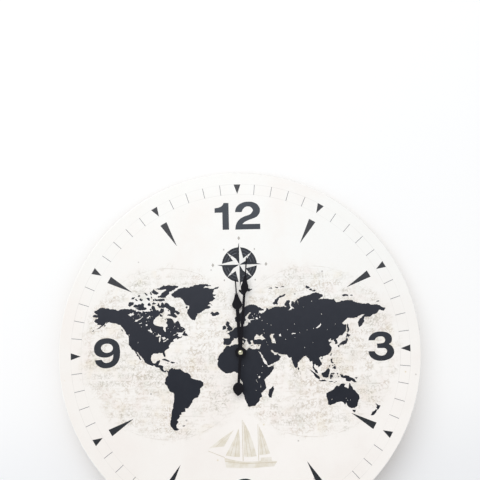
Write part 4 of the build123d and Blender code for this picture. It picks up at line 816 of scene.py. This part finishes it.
africa = [
    (-5.9, 35.7), (-2, 35), (3, 36.8), (9.8, 37.3), (11, 36.8), (10.2, 34), (15, 32.4), (19, 30.3), (20, 32.2),
    (22, 32.9), (25, 31.6), (29, 30.9), (31.5, 31.5), (32.2, 31.2), (32.4, 29.8), (33.6, 27.6), (35.5, 24), (37.1, 21),
    (37.3, 18.8), (39.5, 15.3), (43.1, 12.4), (43.2, 11.4), (44.5, 10.4), (48, 11.2), (51.2, 11.9), (50.8, 9.2),
    (47.8, 4.3), (43, -0.5), (40, -3), (39, -5.5), (40.5, -10.5), (40.7, -15), (36.2, -18.8), (34.8, -20),
    (35.5, -23.5), (32.8, -26), (32.7, -28), (30, -31), (27, -33.6), (20, -34.8), (18.4, -34), (18.2, -31.8),
    (15.2, -27), (14.4, -22.5), (12, -18), (13.6, -12.5), (13, -9), (12.2, -6), (9, -1), (9.5, 3), (8.7, 4.5),
    (5.9, 4.3), (4.5, 6.3), (1.2, 6), (-2, 4.8), (-7.5, 4.4), (-11.5, 6.9), (-13.3, 9), (-15, 11), (-16.8, 13),
    (-17.4, 14.7), (-16.3, 19), (-17, 21), (-15.9, 23.8), (-13, 27.8), (-9.8, 29.8), (-9.7, 31.5), (-6.8, 34),
]
australia = [
    (114, -22), (113.5, -26), (115, -30), (115.7, -32), (115.2, -34.3), (118, -35), (123.7, -33.9), (126, -32.2),
    (131, -31.5), (134.2, -32.8), (135.8, -34.8), (137.8, -32.7), (138.2, -35.5), (140.5, -38), (143.6, -38.8),
    (146.3, -39), (150, -37.4), (151.3, -33.5), (153.5, -28.5), (153, -25.2), (150.8, -23.3), (149, -20.4),
    (146.2, -18.8), (145.3, -15), (143.7, -14.2), (142.5, -10.8), (141.6, -13), (140.8, -17.5), (139.3, -17.4),
    (135.5, -14.9), (136.8, -12.2), (132.6, -11.5), (130.8, -12.4), (129.3, -15), (126.8, -13.9), (124.2, -16.3),
    (122.2, -18.2), (119, -20), (115.5, -21.4),
]
greenland = [
    (-72, 78.4), (-66, 80.4), (-61, 81.4), (-55.7, 82.1), (-53, 81.5), (-49.4, 81.8), (-48.3, 82.3), (-46, 81.9),
    (-44, 82.8), (-39.5, 82.9), (-34.5, 83.3), (-27.5, 83), (-23.3, 82.5), (-30, 82.4), (-34.3, 81.4), (-27.6, 81.4),
    (-24, 80.7), (-21, 80.9), (-14, 81.7), (-15, 81), (-19.6, 80.4), (-20, 79.6), (-22, 78), (-17.6, 77.4),
    (-21.4, 76.8), (-18.4, 75.4), (-21.3, 74.2), (-26.5, 73.1), (-22, 71), (-25.2, 72.2), (-28.6, 71.1), (-23.6, 69.8),
    (-31, 68.4), (-35.2, 66.7), (-40.2, 65.5), (-42.3, 63.2), (-43.5, 60.5), (-46.6, 61), (-50, 62.8), (-52.7, 66.1),
    (-52.5, 68.4), (-50, 69.2), (-50.6, 71.3), (-54.5, 71.8), (-56, 73.4), (-58, 75.2), (-61.5, 76.3), (-67.8, 76.5),
    (-69.5, 77.2),
]
islands = [
    # North America
    [
        (-89.5, 72), (-87.5, 73.5), (-86, 71.5), (-84.6, 71.4), (-84.4, 73.4), (-81.6, 73.6), (-80.7, 72.3),
        (-78, 73.3), (-75, 72.2), (-72.9, 71.2), (-68, 69.9), (-67.4, 68.4), (-61.8, 66.3), (-63.8, 65.2), (-67.6, 67),
        (-68.9, 66), (-65.3, 63.5), (-67.2, 62.6), (-71.7, 63.9), (-77.3, 64.8), (-75.9, 65.6), (-72.7, 65.3),
        (-73.8, 66.9), (-73.7, 68.1), (-77, 69.5), (-79.2, 70.4), (-86.9, 70.4), (-88.3, 71.1),
    ],
    [
        (-118.5, 72), (-116.3, 72.8), (-113.2, 72.4), (-112, 73), (-109.5, 72.5), (-107, 73.7), (-105, 72.8),
        (-105.8, 71.3), (-102.4, 69.9), (-104, 69.2), (-108.3, 69.1), (-111.4, 68.7), (-113.3, 69.5), (-116, 69.9),
        (-111.8, 70.6), (-117.6, 71.1),
    ],
    [(-124.7, 72.6), (-123.4, 74.3), (-120.6, 74.5), (-117.2, 73.9), (-119.4, 72.7), (-122.9, 71.4)],
    [(-101.1, 72.9), (-98.6, 73.7), (-97, 72.9), (-97.7, 71.7), (-100.2, 72.1)],
    [(-95.8, 72.9), (-94.5, 74), (-91, 73.6), (-92.1, 73), (-94.6, 72.6)],
    [(-98.4, 69.3), (-97.3, 69.9), (-96.4, 69.2), (-97.5, 68.7)],
    [(-92, 74.7), (-80, 74.8), (-80.5, 75.8), (-89.5, 75.7), (-92, 76.4)],
    [
        (-90, 81.5), (-84.4, 82.1), (-80.9, 82.9), (-76, 83.1), (-69.7, 82.9), (-63, 82.5), (-67, 81.4), (-69.8, 80.6),
        (-74.7, 79.5), (-74.4, 78.7), (-78.6, 77.7), (-78.7, 76.6), (-88.1, 76.7), (-88.5, 77.5), (-84.6, 77.8),
        (-83.5, 79.5), (-77, 80.6), (-78, 81.3), (-84.5, 80.8), (-87.3, 81.1),
    ],
    [(-95.7, 80.1), (-93.6, 81), (-90.8, 80.3), (-87.8, 79.5), (-88.4, 78.6), (-92.3, 78.6), (-94.7, 79.4)],
    [(-121.3, 76.2), (-119.3, 77.1), (-116, 77.3), (-117.8, 76.4)],
    [(-116.3, 75.7), (-114.2, 76.3), (-112.7, 75), (-114.7, 74.9)],
    [(-111.4, 75.7), (-109.1, 76.3), (-106.6, 75.6), (-108.7, 74.8)],
    [(-112.6, 77.6), (-111.6, 78.4), (-110.1, 77.9), (-111.1, 77.3)],
    [(-104.8, 79.4), (-103, 79.1), (-100.4, 78.2), (-102.2, 78.2)],
    [(-97.3, 79.8), (-96.4, 80.1), (-95.8, 78.7), (-96.9, 78.5)],
    [(-102.2, 76.4), (-100, 76.9), (-98.2, 76.2), (-98.5, 75.2), (-100.5, 75.6)],
    [(-97.1, 77.5), (-95.7, 77.2), (-96.1, 76.3)],
    [(-94.4, 75.5), (-93.1, 75.8), (-92.7, 75), (-93.9, 74.7)],
    [(-54.6, 70.2), (-53.3, 70.9), (-52.3, 70.2), (-53.3, 69.5)],
    [(-86.7, 65.7), (-84.9, 65.7), (-82.7, 64.2), (-84.3, 63.6), (-86.2, 64.5)],
    [(-83.6, 62.8), (-82.4, 63), (-82.6, 62.3)],
    [(-80.2, 61.7), (-79, 62.1), (-79.3, 61.3)],
    [(-76.6, 67.9), (-75.5, 68.5), (-74.9, 67.6)],
    [(-128.2, 50.7), (-125.5, 50.2), (-123.6, 48.5), (-125.5, 48.8)],
    [(-133, 54), (-131.8, 54), (-131.3, 52.3)],
    [(-154.6, 57.6), (-152.4, 58.2), (-153, 57)],
    [(-168.4, 53.1), (-166.5, 54), (-167, 53.2)],
    [(-59.3, 47.7), (-57.2, 50.8), (-55.7, 51.5), (-56, 49.8), (-53.5, 48.8), (-52.8, 46.8), (-55.5, 46.9)],
    # Caribbean and South Atlantic
    [(-84.8, 21.9), (-82, 23.1), (-79, 22.6), (-74.3, 20.2), (-77.5, 19.9), (-78.5, 21)],
    [(-74.4, 18.4), (-73, 19.9), (-68.5, 18.6), (-71.5, 17.7)],
    [(-78.3, 18.3), (-76.3, 18.2), (-77.2, 17.7)],
    [(-67.2, 18.4), (-65.7, 18.4), (-66.5, 17.9)],
    [(-61.2, -51.6), (-57.9, -51.5), (-59.5, -52.3)],
    # Europe and Arctic Asia
    [(-24.2, 65.6), (-22, 66.4), (-20, 65.7), (-16, 66.5), (-13.7, 65), (-16, 64), (-19, 63.4), (-22.5, 63.9)],
    [
        (-5.6, 50), (1.3, 51.2), (1.7, 52.7), (-0.2, 54), (-2, 55.8), (-1.9, 57.6), (-3.2, 58.6), (-5, 58.6),
        (-6.2, 56.6), (-4.8, 54.8), (-3, 53.5), (-4.6, 52.8), (-5.2, 51.8), (-3, 51.4),
    ],
    [(-9.8, 51.6), (-6.3, 52.2), (-5.8, 54.4), (-7.3, 55.3), (-10, 54.2)],
    [(11, 79.5), (16, 80), (18.8, 79.3), (16.5, 76.7), (13.8, 78)],
    [(19.5, 79.6), (23, 80.4), (27, 80.1), (23.5, 79.3)],
    [(47.5, 80.3), (50.5, 80.7), (51.5, 80.3)],
    [(55, 80.6), (57.5, 81), (59, 80.6)],
    [(62, 80.9), (64.5, 81.3), (66, 80.9)],
    [(52, 71.3), (55, 73.4), (60, 75.8), (68, 77), (67, 76.2), (59, 74.4), (57.5, 70.7), (53.5, 70.8)],
    [(92, 80.4), (94, 81.3), (97, 80.8), (97.5, 79.9), (94, 79.9)],
    [(96.5, 79.3), (99.5, 79.8), (101.5, 79), (99, 78.6)],
    [(101, 78.5), (103, 79.1), (105, 78.5), (103.5, 78.2)],
    [(136.8, 75.3), (139, 76), (144.5, 75.8), (144.5, 75), (140, 74.9)],
    [(146.5, 75.3), (149.5, 75.5), (150, 74.9)],
    [(178.7, 71), (182.5, 71.4), (181.5, 70.8)],
    [(12.5, 38), (15.5, 38.2), (15.1, 36.7)],
    [(8.3, 40.9), (9.7, 41), (9.5, 39.2), (8.5, 39)],
    [(8.7, 42.6), (9.5, 42.9), (9.3, 41.5)],
    [(23.6, 35.5), (26.3, 35.2), (24.8, 34.9)],
    [(32.4, 35), (34.4, 35.6), (33.5, 34.6)],
    # Africa and South Asia
    [
        (49.3, -12), (50.4, -15.8), (48, -22), (47, -25), (44.7, -25.3), (43.5, -22), (44.3, -18), (44.5, -16.2),
        (47.5, -14.8),
    ],
    [(79.8, 8), (80.3, 9.7), (81.8, 7.5), (80.6, 6)],
    # East Asia
    [(142.5, 54.3), (143.3, 52), (144.5, 49), (143, 47), (142, 46), (142.1, 49), (141.9, 52)],
    [(140, 41.6), (141.7, 45.4), (145.3, 43.3), (143.2, 42), (141, 42.4)],
    [
        (140.9, 41.4), (142, 39.5), (140.9, 36), (139.8, 35), (136, 33.6), (135, 34.4), (131, 34), (133, 35.6),
        (136.7, 37.4), (139.5, 38.6),
    ],
    [(129.8, 33.3), (131.8, 33.5), (131.2, 31.3), (130.2, 31.3)],
    [(132.2, 33.2), (134.5, 34.2), (134.2, 33.3)],
    [(120.2, 23), (121.6, 25.2), (120.9, 22)],
    [(108.7, 19.3), (110.8, 20), (110, 18.4)],
    [(120.3, 16), (120.7, 18.5), (122.2, 18.3), (121.6, 16), (124, 13), (121, 13.8)],
    [(122, 7), (123.5, 8.6), (125.5, 9.7), (126.4, 7.3), (125.4, 5.8), (124, 7)],
    [(122, 10.6), (123.2, 11.4), (123.2, 9.3)],
    [(124.4, 11.4), (125.3, 12.4), (125.2, 10.3)],
    [(117.3, 8.4), (119.3, 11.1), (119.4, 10.3)],
    # Indonesia and Oceania
    [
        (109, 1.5), (111.5, 2.5), (113.3, 3.6), (116.8, 7), (119, 5.2), (117.8, 1), (116.3, -3.5), (114.5, -4),
        (110.2, -2.8), (109, 0),
    ],
    [(95.3, 5.6), (98, 4.2), (103.5, -0.5), (106, -3), (105.8, -5.8), (102.3, -4), (98.8, 1.6)],
    [(105.3, -6.8), (108.5, -6.6), (112.7, -7), (114.5, -8), (110, -8.2), (106.5, -7.4)],
    [
        (119.2, -5.5), (118.9, -2.5), (120, 1.2), (124.8, 1.6), (123.5, 0.4), (120.4, 0.2), (120.4, -1.2),
        (123.4, -0.9), (121.7, -2), (122.7, -4.6), (121, -3), (120.4, -5.5),
    ],
    [(123.4, -10.4), (127, -8.4), (125, -9.3)],
    [(117, -8.4), (119, -8.5), (122.8, -8.3), (120, -9)],
    [(127.6, 1.8), (128.6, 1.2), (128, -0.6)],
    [(128, -3), (130.6, -3.1), (129.5, -3.6)],
    [
        (131, -0.8), (134, -0.8), (135, -3.3), (138, -1.7), (141, -2.6), (145.8, -5.3), (147.8, -6.2), (150.8, -10.4),
        (147.5, -9.8), (144.7, -7.7), (143, -9.2), (138.3, -8.3), (138, -5.5), (133, -4),
    ],
    [(148.5, -5.5), (152.2, -4.2), (151, -6)],
    [(144.7, -40.8), (148.3, -41), (147.5, -43.4), (145.8, -43)],
    [
        (172.7, -34.5), (175.5, -36.5), (178.5, -37.7), (177, -39.5), (175.2, -41.6), (174.9, -40), (173.8, -39.3),
        (174.8, -37.8),
    ],
    [
        (172.7, -40.6), (174.2, -41.7), (172.8, -43.8), (170.7, -45.8), (168.4, -46.6), (166.5, -46), (168.3, -44),
        (171.2, -42.3),
    ],
    [(-156.1, 19.8), (-155, 19.5), (-155.8, 19)],
]
# Black Sea, Caspian, Aral, Baikal, Ladoga, Onega and Balkhash
inland_seas = [
    [
        (28.2, 41.4), (28.2, 43.5), (30.7, 46.3), (33, 46), (33.7, 44.5), (35.5, 45.1), (38.5, 46.8), (37.8, 45),
        (41.6, 42), (38, 41), (35, 42), (31.5, 41.3),
    ],
    [
        (47, 45), (49, 46.5), (52.8, 46.8), (51, 44.6), (51, 43), (53, 41.8), (53.8, 39), (54, 37), (50, 37.4),
        (49, 39), (49.5, 40.4), (47.6, 42.8),
    ],
    [(58.5, 45.8), (60.5, 46.5), (61.3, 44.3), (58.8, 44)],
    [(103.6, 51.3), (106.8, 52.7), (109.4, 55.4), (110.3, 55.1), (108.4, 52), (105.2, 50.8)],
    [(30.3, 60.4), (31.5, 61.6), (33, 60.8), (32.6, 60)],
    [(34.6, 61.3), (35.6, 62.4), (36.3, 61)],
    [(73.5, 46.2), (75.3, 46.9), (78.7, 46.7), (78.6, 46.2), (75.6, 46.2), (74.3, 45.4)],
]
# Great Lakes, lakes of the north and the mouth of the Saint Lawrence
american_lakes = [
    [
        (-91.5, 46.9), (-89.5, 48.2), (-88.1, 49.8), (-87.2, 48.6), (-85.1, 48.1), (-85.2, 46.7), (-87.7, 47.4),
        (-90.2, 46.6),
    ],
    [(-87.3, 41.2), (-88.2, 43.2), (-87.1, 46.2), (-85.1, 46), (-86.2, 44.6), (-86.1, 42.6)],
    [(-84.1, 45.9), (-81.4, 46.2), (-79.2, 45), (-81.4, 44), (-82.4, 43.3), (-83.1, 44.6)],
    [(-83.1, 41.7), (-80, 43), (-78.3, 43), (-81.5, 41.1)],
    [(-79.8, 43.3), (-77.8, 44.3), (-75.8, 44.3), (-77.2, 43.3)],
    [
        (-97.8, 54.9), (-97.2, 53), (-96, 50.9), (-97.5, 50.7), (-99.4, 52.5), (-101.1, 52.4), (-100.4, 53.5),
        (-98.4, 53.5),
    ],
    [
        (-117, 60.7), (-115.3, 62), (-113.1, 61.8), (-109.7, 63.1), (-107.2, 64.6), (-106.7, 64.1), (-109.7, 62.4),
        (-115, 60.3),
    ],
    [
        (-124.7, 66.1), (-122, 66.9), (-120.3, 66.4), (-118.9, 67.5), (-117.6, 65.8), (-120.2, 65.5), (-121.8, 64.7),
        (-123, 65.5),
    ],
    [(-112.4, 58.5), (-110.4, 59.3), (-108.4, 59.8), (-108.6, 59.2), (-111, 58.4)],
    [(-103.4, 58), (-102.3, 58.2), (-101.2, 57.3), (-102.7, 56.3)],
    [(-102.1, 63.3), (-101.3, 63.8), (-99.4, 64.7), (-97.1, 64.4), (-99.1, 63.8), (-100.7, 62.5)],
    [(-70.8, 47.4), (-68.4, 49), (-65.9, 50.2), (-63.6, 50.6), (-66.2, 49.3), (-68.9, 47.7)],
]
african_lakes = [
    [(31.8, -0.5), (34, 0.3), (33.8, -2), (32.2, -2.6)],
    [(29.3, -3.6), (30, -6), (31.1, -8.6), (30.2, -7.6), (29.2, -5)],
    [(34.2, -10), (34.8, -13.8), (34.2, -12.5)],
]
# Ponds too small to have a shape, each by its middle
american_ponds = [
    (-102.8, 66.6), (-113.1, 65.7), (-110.6, 65.7), (-112.1, 66.5), (-118.4, 63.5), (-110.2, 64.5), (-99.5, 60.6),
    (-102.6, 60.3), (-97.9, 63.2), (-95.4, 64.3), (-108.9, 56.1), (-94.4, 49.5), (-92.3, 50.6), (-69.9, 54.5),
    (-64.3, 54), (-73.3, 51.2), (-76.4, 54), (-59.6, 53.7), (-68.3, 55.8), (-112.8, 41.4),
]
eurasian_ponds = [
    (83.5, 47.3), (92.8, 49.8), (100.6, 50.8), (77.3, 55.1), (77.5, 42.5), (68.9, 50.2), (66.5, 40.8), (99.7, 37.2),
    (89.3, 31.7), (111.2, 62.8), (127.8, 54.5), (117.3, 49.3), (88.9, 68.5), (99.4, 72.1), (26.5, 62.8), (29.3, 64.1),
    (32, 63.2), (28, 61.2), (34.1, 64.9), (37.9, 58.8), (44.6, 56.1), (48.7, 55.1), (39.7, 50.8), (40.2, 47.6),
    (42.9, 38.7), (44.6, 35.7),
]
african_ponds = [(14.1, 13.2), (30.7, 1.6), (36.2, 3.4), (28.8, -16.6), (37.3, 11.9)]
australian_ponds = [(119.9, -29.3), (137.4, -28.2), (139, -30.8), (142.3, -30.4)]

# Without a seed, each run would roughen the coasts in another way
noise.seed_set(coast_seed)


def coast(points, by=ink_spread):
    """Loop of dial points along a coast, cut into short steps and roughened by a smooth field of small shifts."""
    flat = []
    for longitude, latitude in points:
        up = 1.25 * log(tan(pi / 4 + 0.4 * radians(latitude)))
        gain = 1 + fjord_gain * max(0, abs(latitude) - fjord_latitude) / fjord_latitude
        flat.append(Vector((map_meridian_x + map_radius * radians(longitude), map_equator_z + map_radius * up, gain)))
    loop = []
    for start, end in zip(flat, flat[1:] + flat[:1]):
        steps = max(1, round((end - start).xy.length / coast_step))
        for i in range(steps):
            x, y, gain = start.lerp(end, i / steps)
            fields = (reach * noise.noise_vector(Vector((x, y, 0)) / length) for reach, length in coast_warp)
            shift = sum(fields, Vector())
            loop.append((x + gain * shift.x, y + gain * shift.y))
    return spread(loop, by)


def waters(lakes, ponds):
    """Holes in a land for its lakes and for small round ponds."""
    ring = round_loop(pond_size, 8)
    rounds = [[(middle[0] + x, middle[1] + y) for x, y in ring] for middle in ponds]
    return [coast(loop, 0.0) for loop in lakes + rounds]


for name, land, lakes, ponds in (
    ("map_america", mainland_america, american_lakes, american_ponds),
    ("map_eurasia", eurasia, inland_seas, eurasian_ponds),
    ("map_africa", africa, african_lakes, african_ponds),
    ("map_australia", australia, [], australian_ponds),
):
    printed(name, [coast(land)] + waters(lakes, ponds), map_ink)
printed("map_islands", [coast(land) for land in [greenland] + islands], map_ink)


# Stage: the wall that the clock leans on, and the floor. Both are seen as plain light in part, with a share that rises
# between two heights, and their paint changes from its low colour between the same heights; on the wall the low colour
# is a painted shade that darkens it towards the floor.

lean = radians(5.4)
wall_foot = 0.0046
floor_height = -0.1976
stage_size = 4.0
sideways = Vector((1, 0, 0))
upright = Vector((0, -sin(lean), cos(lean)))
backwards = Vector((0, cos(lean), sin(lean)))
glow_heights = (-0.15, -0.02)
glow_shares = (0.0, 0.42)
low_colour_with_shade = "f9f9fa"


def stage_material(name, colour, cloud):
    """Pale paint that a viewer sees partly as plain white light, and can look through from behind."""
    material = finish(name, colour, cloud, 0.9, scale=3.0, amount=0.3, grain=300.0, bump=0.02, specular_ior_level=0.0)
    n = Nodes(material.node_tree)
    nodes = material.node_tree.nodes
    paint = nodes["Principled BSDF"]
    height = n.axes(n.add("ShaderNodeTexCoord").outputs["Object"])[2]
    base = paint.inputs["Base Color"]
    # Painted shade: towards the foot of the wall its paint darkens to the low colour
    n.feed(base, n.mix(n.ramp(height, *glow_heights), srgb(low_colour_with_shade), base.links[0].from_socket))
    path = n.add("ShaderNodeLightPath").outputs
    seen = n.math("MAXIMUM", path["Is Glossy Ray"], path["Is Transmission Ray"])
    seen = n.math("MAXIMUM", path["Is Camera Ray"], seen)
    light = n.add("ShaderNodeEmission", {"Color": srgb(colour), "Strength": 1.0})
    share = n.times(seen, n.ramp(height, *glow_heights, *glow_shares))
    lit = n.add("ShaderNodeMixShader", {0: share, 1: paint.outputs[0], 2: light.outputs[0]})
    clear = n.add("ShaderNodeBsdfTransparent")
    behind = n.add("ShaderNodeNewGeometry").outputs["Backfacing"]
    shown = n.add("ShaderNodeMixShader", {0: behind, 1: lit.outputs[0], 2: clear.outputs[0]})
    n.feed(nodes["Material Output"].inputs["Surface"], shown.outputs[0])
    return material


def stage_plane(name, origin, along, material):
    """Square that casts no shadow and throws no light back."""
    half = stage_size / 2
    corners = [origin + sideways * a * half + along * b * half for a, b in ((-1, -1), (1, -1), (1, 1), (-1, 1))]
    mesh = bpy.data.meshes.new(name)
    mesh.from_pydata(corners, [], [(0, 1, 2, 3)])
    mesh.materials.append(material)
    plane = put(name, mesh)
    plane.visible_shadow = plane.visible_diffuse = False


stage_plane("wall", Vector((0, wall_foot, 0)), upright, stage_material("wall_paint", "fefefe", "fcfcfd"))
stage_plane("floor", upright * floor_height, backwards, stage_material("floor_paint", "f6f7f9", "f1f2f5"))


# Camera: from_dial is its place along its own axes, to the right of, above and back from the middle of the dial

picture_pixels, focal_pixels = 480, 750
from_dial = Vector((-0.0005508, 0.1233792, 0.8262))
yaw, tilt, roll = radians(0.75), -lean, radians(1.36)
dial_to_view = Matrix.Rotation(yaw, 3, "Y") @ Matrix.Rotation(tilt, 3, "X") @ Matrix.Rotation(roll, 3, "Z")
frame_to_dial = Matrix(((1, 0, 0), (0, 0, 1), (0, -1, 0)))
turn = frame_to_dial.transposed() @ dial_to_view.transposed()
place = turn @ from_dial + Vector((0, face, 0))
lens = bpy.data.cameras.new("camera")
lens.sensor_fit = "AUTO"
lens.sensor_width = 36.0
lens.lens = focal_pixels / picture_pixels * lens.sensor_width
camera = put("camera", lens)
camera.matrix_world = Matrix.Translation(place) @ turn.to_4x4()
bpy.context.scene.camera = camera


# Light

sky_colour, sky_strength = (0.96, 0.98, 1.0, 1.0), 0.63


def lamp(name, place, size, power):
    """White rectangle of light that faces the middle of the dial."""
    light = bpy.data.lights.new(name, "AREA")
    light.shape = "RECTANGLE"
    light.size, light.size_y = size
    light.energy = power
    obj = put(name, light)
    facing = (-Vector(place)).to_track_quat("-Z", "Y")
    obj.matrix_world = Matrix.Translation(place) @ facing.to_matrix().to_4x4()


lamp("softbox", (-0.55, -1.75, 1.0), (2.0, 1.5), 25.0)
lamp("rear_softbox", (0.7, 1.5, 0.9), (1.5, 1.5), 12.0)
world = bpy.data.worlds.new("room")
world.use_nodes = True
sky = world.node_tree.nodes["Background"].inputs
sky["Color"].default_value = sky_colour
sky["Strength"].default_value = sky_strength
bpy.context.scene.world = world
bpy.context.scene.view_settings.view_transform = "Standard"
